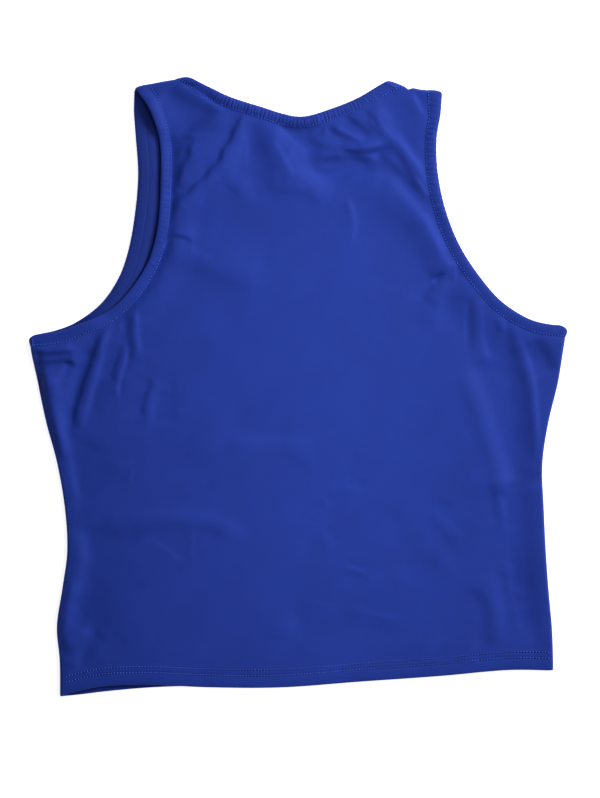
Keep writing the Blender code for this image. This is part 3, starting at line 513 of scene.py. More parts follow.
# --------------------------------------------------------------------- rungs
class Rungs:
    """Lines across a bound edge: b from the finished edge into the cloth, n out of its outer face."""

    def __init__(self, foot, foot_n, head, head_n, face, level):
        self.foot, self.foot_n, self.head, self.head_n = (np.asarray(v, float) for v in (foot, foot_n, head, head_n))
        self.face = np.full(len(self.foot), float(face))
        self.level = np.full(len(self.foot), float(level))

    def __len__(self):
        return len(self.foot)

    def take(self, index):
        out = object.__new__(Rungs)
        for key in ("foot", "foot_n", "head", "head_n", "face", "level"):
            setattr(out, key, getattr(self, key)[index])
        return out

    def reverse(self):
        return self.take(np.arange(len(self))[::-1])

    @staticmethod
    def join(*parts):
        out = object.__new__(Rungs)
        for key in ("foot", "foot_n", "head", "head_n", "face", "level"):
            setattr(out, key, np.concatenate([getattr(p, key) for p in parts]))
        return out

    def points(self, b, n):
        """b and n: one value a rung, or an array (rungs, points)."""
        b, n = np.asarray(b, float), np.asarray(n, float)
        if b.ndim < 2:
            b = np.broadcast_to(b, (len(self),))[:, None] if b.ndim == 1 and len(b) == len(self) else b[None, :] * np.ones((len(self), 1))
        if n.ndim < 2:
            n = n[:, None] if n.ndim == 1 and len(n) == len(self) else n[None, :] * np.ones((len(self), 1))
        b, n = np.broadcast_arrays(b, n)
        t = ((b - CUT) / (INSET - CUT))[..., None]
        a = self.foot[:, None, :] + n[..., None] * self.foot_n[:, None, :]
        h = self.head[:, None, :] + n[..., None] * self.head_n[:, None, :]
        p = a + (h - a) * t
        flat = p.reshape(-1, 3)
        which = np.repeat(self.face, b.shape[1])
        level = np.repeat(self.level, b.shape[1])
        for face in (BACK, FRONT):
            i = np.nonzero((which == face.side) & (level > 0))[0]
            if len(i):
                flat[i, 2] += face.lift(flat[i, 0], flat[i, 1]) * level[i]
        return flat.reshape(p.shape)


def level_rungs(poly, count, face, start, end, inward, k_start, k_end, coarse):
    """Rungs along a cut edge, turned gradually to the directions at its two ends."""
    share = np.linspace(0, 1, count + 1)
    pts = along(poly, share)
    step = along(poly, np.minimum(share + 0.004, 1.0)) - along(poly, np.maximum(share - 0.004, 0.0))
    t = step / np.linalg.norm(step, axis=1)[:, None]
    m = np.column_stack([-t[:, 1], t[:, 0]]) * inward
    d = m
    for target, far in ((start, share * coarse), (end, (1 - share) * coarse)):
        w = (1 - ease(far / 3.0))[:, None]
        d = d * (1 - w) + np.array(target, float) * w
    d = d / np.linalg.norm(d, axis=1)[:, None]
    k = 1 / np.maximum((d * m).sum(1), 0.72)
    for target, far in ((k_start, share * coarse), (k_end, (1 - share) * coarse)):
        w = 1 - ease(far / 1.6)
        k = k * (1 - w) + target * w
    d = d * k[:, None]
    z = np.full(len(pts), FOLD_Z + face * FOLD_R)
    up = np.tile([0.0, 0.0, float(face)], (len(pts), 1))
    return Rungs(np.column_stack([pts + CUT * d, z]), up, np.column_stack([pts + INSET * d, z]), up, face, 1.0)


def meet(rungs, first, last, reach):
    """Shift the two ends of a run of rungs onto the rungs that they join."""
    share = lengths(rungs.foot) / lengths(rungs.foot)[-1]
    for end, far, k in ((first, share, 0), (last, 1 - share, -1)):
        w = (1 - ease(far / reach))[:, None]
        rungs.foot += (end.foot[0] - rungs.foot[k]) * w
        rungs.head += (end.head[0] - rungs.head[k]) * w
    return rungs


def rounded(x, y, hand):
    """How far a bound edge drops where it nears the side, round the underarm corner."""
    t = np.clip(1 - hand * (side_x(y, hand) - x) / CORNER, 0.0, 0.97)
    return 0.6 * CORNER * (1 - np.sqrt(1 - t * t))


def side_rungs(edge_y, hand, face, turns):
    turns = np.asarray(turns, float)

    def at(b):
        y = np.full(len(turns), edge_y - b)
        cx = side_x(y, hand) - hand * (FOLD_R + 0.3)
        out = np.column_stack([hand * np.sin(turns), 0 * turns, face * np.cos(turns)])
        y = y - rounded(cx + hand * FOLD_R * np.sin(turns), y, hand) * (INSET - b) / (INSET - CUT)
        return np.column_stack([cx, y, np.full(len(turns), FOLD_Z)]) + FOLD_R * out, out
    f, fn = at(CUT)
    h, hn = at(INSET)
    return Rungs(f, fn, h, hn, face, 0.0)


def shoulder_rungs(x, dx, turns):
    """Rungs over the shoulder fold, at the edge's x for each turn."""
    def at(b):
        px = x + b * dx
        out = np.column_stack([0 * turns, np.sin(turns), np.cos(turns)])
        return np.column_stack([px, fold_y(px), np.full(len(px), FOLD_Z)]) + FOLD_R * out, out
    f, fn = at(CUT)
    h, hn = at(INSET)
    return Rungs(f, fn, h, hn, 1, 0.0)


def shoulder_point(x, drop):
    return np.array([x, float(fold_y(x)) - drop, FOLD_Z - FOLD_R])


def drop_rung(x, dx, drop):
    down = np.array([[0.0, 0.0, -1.0]])
    return Rungs([shoulder_point(x + CUT * dx, drop)], down, [shoulder_point(x + INSET * dx, drop)], down, -1, 0.0)


def up_to_shoulder(poly, drop):
    """An edge, from its low end up to where it meets a line below the shoulder fold."""
    keep = [poly[0]]
    for a, b in zip(poly[:-1], poly[1:]):
        ga, gb = a[1] - float(fold_y(a[0])) + drop, b[1] - float(fold_y(b[0])) + drop
        if gb >= 0:
            keep.append(a + (b - a) * (ga / (ga - gb)))
            return np.array(keep)
        keep.append(b)
    return np.array(keep)


def between(a, b, count):
    """Rungs between two single rungs, without the first."""
    t = np.linspace(0, 1, count + 1)[1:, None]
    mix = lambda key: getattr(a, key) + (getattr(b, key) - getattr(a, key)) * t
    return Rungs(mix("foot"), mix("foot_n"), mix("head"), mix("head_n"), -1, 0.0)


WRAP = np.linspace(0, math.pi, 21)
NECK_LEAD = (-4.6, 3.4)
DROP = SHOULDER_DROP


def over_shoulder(back_poly, front_poly, dx, hand_x, lead=0.0):
    """Rungs from the top face over the shoulder and down to the seam on the front side."""
    xb = up_to_shoulder(back_poly, 0.0)[-1][0]
    xf = up_to_shoulder(front_poly, 0.0)[-1][0]
    xs = up_to_shoulder(front_poly, DROP)[-1][0]
    wrap = shoulder_rungs(xb + (xf - xb) * (1 - np.cos(WRAP)) / 2 + lead * np.sin(WRAP), dx, WRAP)
    last = wrap.take(np.array([-1]))
    return wrap, between(last, drop_rung(xs, hand_x, DROP), 12)


def arm_parts(hand):
    """One armhole's rungs: back side turn, back, shoulder, drop, front, front side turn."""
    y = BACK.arm[hand][0][1]
    turns = np.linspace(0, 0.5 * math.pi, 8)
    back_side = side_rungs(y, hand, 1, turns[::-1])
    front_side = side_rungs(y, hand, -1, turns)
    back_poly = up_to_shoulder(BACK.arm[hand], 0.0)
    front_poly = up_to_shoulder(FRONT.arm[hand], DROP)
    for poly in (back_poly, front_poly):
        poly[0][0] = side_x(y, hand) - hand * (FOLD_R + 0.3)
    flat = {}
    for face, poly, k_end, coarse in ((1, back_poly, EDGE_SKEW, 16), (-1, front_poly, 1.0, 12)):
        count = int(lengths(poly)[-1] / 0.62)
        flat[face] = level_rungs(poly, count, face, (0, -1), (-hand, 0), hand, 1.0, k_end, coarse)
        flat[face].foot[:, 1] -= rounded(flat[face].foot[:, 0], flat[face].foot[:, 1], hand)
    wrap, drop = over_shoulder(BACK.arm[hand], FRONT.arm[hand], -hand * EDGE_SKEW, -hand)
    meet(flat[1], back_side.take([-1]), wrap.take([0]), 0.09)
    meet(flat[-1], front_side.take([0]), drop.take([-1]), 0.11)
    return back_side, flat[1], wrap, drop, flat[-1], front_side


def neck_parts():
    """The neck's rungs: left shoulder, back, right shoulder, front; left to right."""
    half = len(FRONT.neck) // 2
    left_wrap, left_drop = over_shoulder(BACK.neck[::-1], FRONT.neck[half::-1], -EDGE_SKEW, -1, NECK_LEAD[0])
    right_wrap, right_drop = over_shoulder(BACK.neck, FRONT.neck[half:], EDGE_SKEW, 1, NECK_LEAD[1])
    flat = {}
    for face, drop, k, coarse in ((BACK, 0.0, EDGE_SKEW, 16), (FRONT, DROP, 1.0, 12)):
        mid = len(face.neck) // 2
        poly = np.vstack([up_to_shoulder(face.neck[mid::-1], drop)[::-1], up_to_shoulder(face.neck[mid:], drop)[1:]])
        count = int(lengths(poly)[-1] / 0.5)
        flat[face.side] = level_rungs(poly, count, face.side, (-1, 0), (1, 0), -1, k, k, coarse)
    meet(flat[1], left_wrap.take([0]), right_wrap.take([0]), 0.09)
    meet(flat[-1], left_drop.take([-1]), right_drop.take([-1]), 0.11)
    return left_wrap, left_drop, flat[1], right_wrap, right_drop, flat[-1]


def thin(rungs, spacing):
    """Every so-many-th rung, so that the heads lie about a spacing apart, ends kept."""
    total = lengths(rungs.head)[-1]
    count = max(int(round(total / spacing)), 2)
    s = lengths(rungs.head)
    index = np.unique(np.abs(s[None, :] - np.linspace(0, total, count + 1)[:, None]).argmin(1))
    index[0], index[-1] = 0, len(rungs) - 1
    return rungs.take(index)


ARM = {hand: arm_parts(hand) for hand in (-1, 1)}
NECKS = neck_parts()


# -------------------------------------------------------------------- meshes
class Soup:
    """Points and faces that are welded where they meet."""

    def __init__(self):
        self.points, self.faces, self.count = [], [], 0

    def grid(self, rows):
        """A sheet from an array (rows, columns, 3)."""
        rows = np.asarray(rows, float)
        m, n = rows.shape[:2]
        index = np.arange(m * n).reshape(m, n) + self.count
        quads = np.stack([index[:-1, :-1], index[:-1, 1:], index[1:, 1:], index[1:, :-1]], axis=-1).reshape(-1, 4)
        self.points.append(rows.reshape(-1, 3))
        self.faces += quads.tolist()
        self.count += m * n

    def mesh(self, points, faces):
        self.faces += [[i + self.count for i in f] for f in faces]
        self.points.append(np.asarray(points, float))
        self.count += len(points)


def build(name, soup, material, wall=None, up=1.0, weld=2e-6, inside=None, marks=None):
    """One object from welded faces, its outer face towards up, thickened inwards.

    inside: material of the inner face, darker partly as painted shade; marks: for each face, whether it takes it."""
    pts = np.vstack(soup.points).copy()
    pts[:, 0] += CENTRE[0]
    pts[:, 1] += CENTRE[1]
    mesh = bpy.data.meshes.new(name)
    mesh.from_pydata((pts * MM).tolist(), [], soup.faces)
    if marks is not None:
        mesh.polygons.foreach_set("material_index", np.asarray(marks, np.int32))
    bm = bmesh.new()
    bm.from_mesh(mesh)
    bmesh.ops.remove_doubles(bm, verts=bm.verts, dist=weld)
    bmesh.ops.dissolve_degenerate(bm, edges=bm.edges, dist=1e-7)
    bmesh.ops.recalc_face_normals(bm, faces=bm.faces)
    test = sum(f.normal.z * f.calc_area() for f in bm.faces) if wall else 1.0
    if test * up < 0:
        bmesh.ops.reverse_faces(bm, faces=bm.faces)
    for f in bm.faces:
        f.smooth = True
    bm.to_mesh(mesh)
    bm.free()
    obj = bpy.data.objects.new(name, mesh)
    bpy.context.scene.collection.objects.link(obj)
    mesh.materials.append(material)
    if inside:
        mesh.materials.append(inside)
    if wall:
        shell = obj.modifiers.new("Wall", "SOLIDIFY")
        shell.material_offset = 1 if inside else 0
        shell.thickness = wall * MM
        shell.offset = -1.0
        shell.use_even_offset = False
        shell.use_quality_normals = True
    return obj


def lattice(outline, spacing):
    """Points of an even triangle lattice inside an outline."""
    low, high = outline.min(0), outline.max(0)
    rise = spacing * math.sqrt(3) / 2
    rows = int((high[1] - low[1]) / rise) + 2
    cols = int((high[0] - low[0]) / spacing) + 2
    j, i = np.meshgrid(np.arange(rows), np.arange(cols), indexing="ij")
    x = (low[0] + (i + 0.5 * (j % 2)) * spacing).ravel()
    y = (low[1] + j * rise).ravel()
    inside = np.zeros(len(x), bool)
    for (x0, y0), (x1, y1) in zip(outline, np.roll(outline, -1, axis=0)):
        if y0 == y1:
            continue
        hit = (y0 > y) != (y1 > y)
        cross = x0 + (y[hit] - y0) * (x1 - x0) / (y1 - y0)
        inside[np.nonzero(hit)[0][x[hit] < cross]] ^= True
    return x[inside], y[inside]


def by_a_fold(face, x, y, more):
    """Where a narrow fold needs the fine net."""
    out = np.zeros(len(x), bool)
    for f, path in face.relief.turns:
        if f.width < 3.5:
            reach = 2.0 * f.width + 2.0 + more
            low, high = path.min(0) - reach, path.max(0) + reach
            i = np.nonzero((x > low[0]) & (x < high[0]) & (y > low[1]) & (y < high[1]) & ~out)[0]
            if len(i):
                out[i] = nearest(path, x[i], y[i])[0] < reach
    return out


def net(face, outline, inner, spacing):
    """Triangles inside an outline, finer along the narrow folds; inner holds extra points near its edge."""
    x, y = lattice(outline, spacing)
    keep = ~by_a_fold(face, x, y, 0.8)
    x, y = x[keep], y[keep]
    size = np.full(len(x), spacing)
    if face.relief.turns:
        fx, fy = lattice(outline, FINE_NET)
        keep = by_a_fold(face, fx, fy, 0.0)
        x, y = np.concatenate([x, fx[keep]]), np.concatenate([y, fy[keep]])
        size = np.concatenate([size, np.full(keep.sum(), FINE_NET)])
    keep = nearest(np.vstack([outline, outline[:1]]), x, y)[0] > 0.62 * np.minimum(size, 2.3)
    for line in inner:
        keep &= nearest(line, x, y)[0] > 0.62 * np.minimum(size, 2.3)
    x, y = x[keep], y[keep]
    extra = np.vstack(inner) if inner else np.zeros((0, 2))
    pts = np.vstack([outline, extra, np.column_stack([x, y])])
    count = len(outline)
    verts, _, faces, origin, _, _ = delaunay_2d_cdt(
        [Vector(p) for p in pts], [(k, (k + 1) % count) for k in range(count)], [], 1, 1e-6)
    place = np.array([pts[o[0]] if o else (v[0], v[1]) for v, o in zip(verts, origin)])
    return place, faces


def panel(face, spacing, edge_spacing):
    """One panel's outer face: the net, and the strips round it."""
    soup = Soup()
    side = face.side
    across = np.array([CUT, 3.6, 5.7, 7.8, INSET])
    rings = {}
    for hand in (-1, 1):
        back_side, back_flat, wrap, drop, front_flat, front_side = ARM[hand]
        if side > 0:
            parts = back_side, thin(back_flat, edge_spacing), wrap, drop
        else:
            parts = front_side.reverse(), thin(front_flat, edge_spacing)
        for p in parts:
            soup.grid(p.points(across, 0.0 * across))
        rings[hand] = parts
    lw, ld, nb, rw, rd, nf = NECKS
    neck = thin(nb, edge_spacing) if side > 0 else thin(nf, edge_spacing)
    soup.grid(neck.points(across, 0.0 * across))
    if side > 0:
        for p in (lw, ld, rw, rd):
            soup.grid(p.points(across, 0.0 * across))
        # the straps, over the shoulder and down to the seam
        for hand, (w, d) in ((-1, (lw, ld)), (1, (rw, rd))):
            arm_w, arm_d = rings[hand][2:]
            columns = max(int(abs(w.head[0][0] - arm_w.head[0][0]) / 1.3), 4)
            t = np.linspace(0, 1, columns + 1)
            rows = []
            for a, b, turn in zip(arm_w.head, w.head, WRAP):
                x = a[0] + (b[0] - a[0]) * t
                rows.append(np.column_stack([x, fold_y(x) + FOLD_R * math.sin(turn), np.full(len(x), FOLD_Z + FOLD_R * math.cos(turn))]))
                rows[-1][0], rows[-1][-1] = a, b
            soup.grid(rows)
            rings[hand] = rings[hand] + (rows[0],)
            count = len(arm_d)
            down = [rows[-1]]
            for k in range(count):
                a, b = arm_d.head[k], d.head[k]
                x = a[0] + (b[0] - a[0]) * t
                z = np.full(len(x), FOLD_Z - FOLD_R)
                y = fold_y(x) - DROP * (k + 1) / count
                row = np.column_stack([x, y, z])
                row[0], row[-1] = a, b
                down.append(row)
            soup.grid(down)
    heads = {}
    for hand in (-1, 1):
        flat = rings[hand][1]
        heads[hand] = flat.points([INSET], [0.0])[:, 0]
    neck_head = neck.points([INSET], [0.0])[:, 0]
    # the side turns, from the hem to the underarm
    sides = {}
    for hand in (-1, 1):
        corner_x = side_x(-250.0, hand) - 3.0 * hand
        y0 = float(hem_y(corner_x, side)) + HEM_R
        y1 = heads[hand][0][1]
        ys = np.linspace(y0, y1, int((y1 - y0) / edge_spacing / 1.15) + 1)
        cx, cz, r = side_fold(ys, hand)
        turns = np.linspace(0, 0.5 * math.pi - 0.012, 8)
        rows = np.stack([np.column_stack([cx + hand * r * math.sin(a), ys, cz + side * r * math.cos(a)]) for a in turns], axis=1)
        last = side_rungs(BACK.arm[hand][0][1], hand, side, np.linspace(0, 0.5 * math.pi, 8))
        rows[-1] = last.head
        soup.grid(rows)
        sides[hand] = rows[:, 0]
        edge_r = r[0]
        tuck = 2 * HEM_R + (min(2 * HEM_R, 0.75 * edge_r) - 2 * HEM_R) * np.sin(turns)
        bend = np.linspace(0, math.pi, 8)
        hem_rows = []
        for a, up in [(a, 0.0) for a in bend] + [(math.pi, HEM_DEPTH * k / 6) for k in range(1, 7)]:
            inset = tuck * (1 - math.cos(a)) / 2
            flat = inset * (1 - ease(turns / 0.5))
            sx = cx[0] + hand * (edge_r - inset + flat) * np.sin(turns)
            sz = cz[0] + side * ((edge_r - inset) * np.cos(turns))
            hem_rows.append(np.column_stack([sx, np.full(len(turns), y0 - HEM_R * math.sin(a) + up), sz]))
        soup.grid(hem_rows)
    # the outline of the net
    low_x = np.linspace(sides[-1][0][0], sides[1][0][0], int((sides[1][0][0] - sides[-1][0][0]) / edge_spacing / 1.15) + 1)
    low = np.column_stack([low_x, hem_y(low_x, side) + HEM_R, np.zeros(len(low_x))])
    low[0], low[-1] = sides[-1][0], sides[1][0]
    low[1:-1, 2] = face.height(low[1:-1, 0], low[1:-1, 1])
    if side > 0:
        strap = {hand: rings[hand][4] for hand in (-1, 1)}
    else:
        strap = {}
        for hand, end in ((-1, neck_head[0]), (1, neck_head[-1])):
            a = heads[hand][-1]
            x = np.linspace(a[0], end[0], max(int(abs(a[0] - end[0]) / 1.5), 4) + 1)
            row = np.column_stack([x, fold_y(x) - DROP, np.full(len(x), FOLD_Z - FOLD_R)])
            row[0], row[-1] = a, end
            strap[hand] = row
    loop = np.vstack([
        low[:-1], sides[1][:-1], heads[1][:-1], strap[1][:-1], neck_head[::-1][:-1], strap[-1][::-1][:-1],
        heads[-1][::-1][:-1], sides[-1][::-1][:-1],
    ])
    inner = []
    if side > 0:
        for parts, b in ((rings[-1][1], 11.1), (rings[-1][1], 12.7), (rings[1][1], 11.1), (rings[1][1], 12.7), (neck, 11.1), (neck, 12.7)):
            line = parts.points([b], [0.0])[:, 0, :2]
            keep = (line[:, 1] < fold_y(line[:, 0]) - 2.0) & (np.abs(line[:, 0]) < np.abs(side_x(line[:, 1], 1)) - 6.0)
            inner.append(line[keep])
        row_x = np.arange(sides[-1][0][0] + 3.0, sides[1][0][0] - 3.0, 1.9)
        for up in (17.9, 16.8, 15.6, 14.6, 13.1, 11.6, 10.6, 9.6):
            inner.append(np.column_stack([row_x, hem_y(row_x, 1) + up]))
    place, faces = net(face, loop[:, :2], inner, spacing)
    z = face.height(place[:, 0], place[:, 1])
    # the outline keeps the heights that the strips have
    order = {(round(p[0], 4), round(p[1], 4)): p[2] for p in loop}
    for k, p in enumerate(place):
        known = order.get((round(p[0], 4), round(p[1], 4)))
        if known is not None:
            z[k] = known
    soup.mesh(np.column_stack([place, z]), faces)
    # the hem: half a turn inwards, then the allowance inside the tube
    turns = np.linspace(0, math.pi, 8)
    rows = [np.column_stack([low[:, 0], low[:, 1] - HEM_R * math.sin(a), low[:, 2] - side * HEM_R * (1 - math.cos(a))]) for a in turns]
    for k in range(1, 7):
        rows.append(np.column_stack([low[:, 0], low[:, 1] + HEM_DEPTH * k / 6, low[:, 2] - side * 2 * HEM_R]))
    soup.grid(rows)
    return soup


# Section of a binding: b from the finished edge, n out of the panel's outer
# face; first the outer leg, round the fold, the inner leg, then back inside.
Skin = namedtuple("Skin", "b n part")
SECTION = [
    Skin(9.35, 0.03, "out"), Skin(9.2, 0.09, "out"), Skin(8.8, 0.16, "out"), Skin(8.2, 0.27, "out"), Skin(7.4, 0.45, "out"), Skin(6.5, 0.66, "out"),
    Skin(5.4, 0.86, "out"), Skin(4.3, 0.94, "out"), Skin(3.2, 0.97, "out"), Skin(2.3, 0.93, "out"), Skin(1.5, 0.82, "out"),
    Skin(0.85, 0.6, "out"), Skin(0.4, 0.3, "edge"), Skin(0.1, -0.05, "edge"), Skin(0.0, -0.38, "edge"), Skin(0.1, -0.75, "edge"),
    Skin(0.45, -1.06, "edge"), Skin(1.1, -1.28, "in"), Skin(2.2, -1.36, "in"), Skin(4.2, -1.26, "in"), Skin(6.4, -1.1, "in"),
    Skin(8.0, -0.96, "in"), Skin(8.8, -0.88, "in"), Skin(9.2, -0.8, "in"),
    Skin(8.6, -0.76, "core"), Skin(6.6, -0.78, "core"), Skin(4.2, -0.8, "core"), Skin(2.2, -0.78, "core"), Skin(1.2, -0.6, "core"),
    Skin(0.9, -0.33, "core"), Skin(1.2, -0.04, "core"), Skin(2.2, 0.08, "core"), Skin(4.2, 0.1, "core"), Skin(6.6, 0.08, "core"),
    Skin(8.4, 0.04, "core"),
]


def binding(parts, closed_at, table, seed):
    """A closed ring of the section over all the rungs of one hole, drawn up in puckers."""
    ring = Rungs.join(*parts)
    middle = ring.points([5.0], [0.0])[:, 0]
    gap = np.linalg.norm(np.roll(middle, -1, axis=0) - middle, axis=1)
    ring = ring.take(np.nonzero(gap > 0.05)[0])
    middle = ring.points([5.0], [0.0])[:, 0]
    s = lengths(middle)
    share = closed_at(ring, middle, s)
    puff = np.interp(share, [r.share for r in table], [r.puff for r in table])
    height = np.interp(share, [r.share for r in table], [r.height for r in table])
    pitch = np.interp(share, [r.share for r in table], [r.pitch for r in table])
    chance = np.random.default_rng(int(10 * seed))
    ticks = [0.0]
    while ticks[-1] < s[-1]:
        ticks.append(ticks[-1] + np.interp(ticks[-1], s, pitch) * (0.68 + 0.64 * chance.random()))
    gain = 0.45 + 0.75 * chance.random(len(ticks))
    phase = np.interp(s, ticks, np.arange(len(ticks))) * math.pi
    wave = np.abs(np.sin(phase)) ** 0.75 * np.interp(s, ticks, gain)
    b = np.array([k.b for k in SECTION])[None, :] * np.ones((len(ring), 1))
    n = np.array([k.n for k in SECTION])[None, :] * np.ones((len(ring), 1))
    part = np.array([k.part for k in SECTION])
    out = (part == "out")[None, :]
    rise = ease((b - 0.4) / 2.8) * (1 - 0.75 * ease((b - 8.2) / 1.3))
    n = np.where(out, 0.03 + (n - 0.03) * puff[:, None] + (height * wave)[:, None] * rise, n)
    rear = (part == "in")[None, :]
    n = np.where(rear, n - 0.25 * (height * wave)[:, None] * rise, n)
    edge = (np.isin(part, ("out", "edge", "in")))[None, :]
    scallop = 0.12 * height * (wave - 0.5) / 0.3
    b = np.where(edge & (b < 3.0), b + scallop[:, None] * (1 - ease(b / 3.0)), b)
    pts = ring.points(b, n)
    pts[..., 2] = TABLE + np.logaddexp(0.0, (pts[..., 2] - TABLE) * 12.0) / 12.0
    soup = Soup()
    rows = np.concatenate([pts, pts[:1]])
    rows = np.concatenate([rows, rows[:, :1]], axis=1)
    soup.grid(rows)
    marks = np.tile(np.append(part == "in", [])[:len(part)], len(ring)).astype(int)
    return soup, ring, s, share, marks


def arm_share(ring, middle, s):
    """0 at the underarm, 1 at the shoulder fold, and back down the front."""
    top = int(np.argmax(middle[:, 1]))
    return np.where(np.arange(len(s)) <= top, s / s[top], (s[-1] - s) / max(s[-1] - s[top], 1e-6))


def neck_share(ring, middle, s):
    """0 at the left shoulder, 1 at the right, and back along the front."""
    half = len(s) // 2
    left = int(np.argmin(np.where(middle[:, 0] < 0, -middle[:, 1], 1e9)))
    right = int(np.argmin(np.where(middle[:, 0] > 0, -middle[:, 1], 1e9)))
    out = np.empty(len(s))
    i = np.arange(len(s))
    on = (i >= left) & (i <= right)
    out[on] = (s[on] - s[left]) / (s[right] - s[left])
    rest = ~on
    go = np.where(i > right, s - s[right], s + (s[-1] - s[right]))
    out[rest] = 1 - go[rest] / (s[-1] - s[right] + s[left])
    return np.clip(out, 0, 1)


def thread(soup, points, normals, directions, length, radius, bow):
    """Short stitches: each a small round-ended thread that dips into the cloth at both ends."""
    around, rings = 6, 5
    turn = np.linspace(0, 2 * math.pi, around, endpoint=False)
    place = np.linspace(-1, 1, rings)
    shape = np.array([0.45, 0.95, 1.0, 0.95, 0.45])
    side = np.cross(normals, directions)
    for p, n, d, q in zip(points, normals, directions, side):
        centre = p + d * (place[:, None] * length / 2) + n * (bow * (1 - place[:, None] ** 2) - 0.15)
        ring = centre[:, None, :] + radius * shape[:, None, None] * (
            np.cos(turn)[None, :, None] * q + np.sin(turn)[None, :, None] * n)
        ring = np.concatenate([ring, ring[:, :1]], axis=1)
        base = soup.count
        soup.grid(ring)
        ends = [base + k for k in range(around)], [base + (rings - 1) * (around + 1) + k for k in range(around)]
        soup.faces.append(ends[0][::-1])
        soup.faces.append(ends[1])


# ----------------------------------------------------------------- materials
def node(tree, kind, **values):
    n = tree.nodes.new(kind)
    for key, value in values.items():
        if key in n.inputs:
            n.inputs[key].default_value = value
        else:
            setattr(n, key, value)
    return n


def jersey(name, base, dark, light, bump, sheen=0.12, rough=0.6):
    """Smooth fine-gauge jersey: wales and courses, soft mottling and a little wear."""
    material = bpy.data.materials.new(name)
    material.use_nodes = True
    tree = material.node_tree
    link = tree.links.new
    shader = tree.nodes["Principled BSDF"]
    where = node(tree, "ShaderNodeTexCoord")
    split = node(tree, "ShaderNodeSeparateXYZ")
    link(where.outputs["Object"], split.inputs[0])

    def wave(axis, pitch, shift=0.0):
        scale = node(tree, "ShaderNodeMath", operation="MULTIPLY")
        scale.inputs[1].default_value = 2 * math.pi / (pitch * MM)
        link(split.outputs[axis], scale.inputs[0])
        sine = node(tree, "ShaderNodeMath", operation="SINE")
        link(scale.outputs[0], sine.inputs[0])
        return sine

    wale, course = wave("X", 0.72), wave("Y", 0.58)
    weave = node(tree, "ShaderNodeMath", operation="MULTIPLY")
    link(wale.outputs[0], weave.inputs[0])
    link(course.outputs[0], weave.inputs[1])
    knit = node(tree, "ShaderNodeMath", operation="ADD")
    link(weave.outputs[0], knit.inputs[0])
    link(wale.outputs[0], knit.inputs[1])
    fine = node(tree, "ShaderNodeTexNoise", Scale=900.0, Detail=3.0, Roughness=0.6)
    link(where.outputs["Object"], fine.inputs["Vector"])
    mixed = node(tree, "ShaderNodeMath", operation="ADD")
    link(knit.outputs[0], mixed.inputs[0])
    link(fine.outputs["Fac"], mixed.inputs[1])
    relief = node(tree, "ShaderNodeBump", Strength=bump, Distance=0.00012)
    link(mixed.outputs[0], relief.inputs["Height"])
    # soft, wider unevenness of the cloth
    soft = node(tree, "ShaderNodeTexNoise", Scale=55.0, Detail=4.0, Roughness=0.55)
    link(where.outputs["Object"], soft.inputs["Vector"])
    slow = node(tree, "ShaderNodeBump", Strength=0.25, Distance=0.0008)
    link(soft.outputs["Fac"], slow.inputs["Height"])
    link(relief.outputs[0], slow.inputs["Normal"])
    link(slow.outputs[0], shader.inputs["Normal"])
    # colour: mottled, slightly darker between the wales
    mottle = node(tree, "ShaderNodeTexNoise", Scale=32.0, Detail=6.0, Roughness=0.62)
    link(where.outputs["Object"], mottle.inputs["Vector"])
    ramp = node(tree, "ShaderNodeValToRGB")
    ramp.color_ramp.elements[0].position = 0.3
    ramp.color_ramp.elements[0].color = dark
    ramp.color_ramp.elements[1].position = 0.72
    ramp.color_ramp.elements[1].color = light
    mid = ramp.color_ramp.elements.new(0.5)
    mid.color = base
    link(mottle.outputs["Fac"], ramp.inputs["Fac"])
    shade = node(tree, "ShaderNodeMapRange")
    shade.inputs["From Min"].default_value = -1.0
    shade.inputs["From Max"].default_value = 1.0
    shade.inputs["To Min"].default_value = 0.9
    shade.inputs["To Max"].default_value = 1.06
    link(knit.outputs[0], shade.inputs["Value"])
    tint = node(tree, "ShaderNodeMix", data_type="RGBA", blend_type="MULTIPLY")
    tint.inputs["Factor"].default_value = 1.0
    link(ramp.outputs["Color"], tint.inputs["A"])
    link(shade.outputs["Result"], tint.inputs["B"])
    link(tint.outputs["Result"], shader.inputs["Base Color"])
    # roughness varies a little with the same mottling
    dull = node(tree, "ShaderNodeMapRange")
    dull.inputs["To Min"].default_value = rough - 0.06
    dull.inputs["To Max"].default_value = rough + 0.08
    link(mottle.outputs["Fac"], dull.inputs["Value"])
    link(dull.outputs["Result"], shader.inputs["Roughness"])
    shader.inputs["Sheen Weight"].default_value = sheen
    shader.inputs["Sheen Roughness"].default_value = 0.45
    shader.inputs["Sheen Tint"].default_value = (0.35, 0.45, 1.0, 1.0)
    shader.inputs["Specular IOR Level"].default_value = 0.12
    return material


def tone(k, colour=(0.0148, 0.0425, 0.335)):
    return (colour[0] * k, colour[1] * k, colour[2] * k, 1.0)


panel_cloth = jersey("jersey", tone(1.0), tone(0.93), tone(1.06), 0.35)
# the inner face at 0.68 of the outer: partly the duller inside of the jersey, partly painted shade where the back's
# edge hangs over the front's armhole strip
inside_and_shade_cloth = jersey("jersey_inside_and_shade", tone(0.68), tone(0.62), tone(0.73), 0.35)
band_cloth = jersey("jersey_band", tone(0.97), tone(0.88), tone(1.04), 0.35)
# the stitch thread is made far brighter than the cloth: a painted highlight for the light the threads catch
yarn_with_highlight = (0.034, 0.082, 0.43)
thread_painted_highlight = jersey("thread", tone(2.25, yarn_with_highlight), tone(1.5, yarn_with_highlight), tone(2.9, yarn_with_highlight), 0.5, sheen=0.1, rough=0.5)
# needle pits: small dark ellipsoids of painted shadow where the thread goes into the cloth
pit_shadow_paint = jersey("painted_needle_shadows", tone(0.3), tone(0.25), tone(0.35), 0.3, sheen=0.0, rough=0.8)

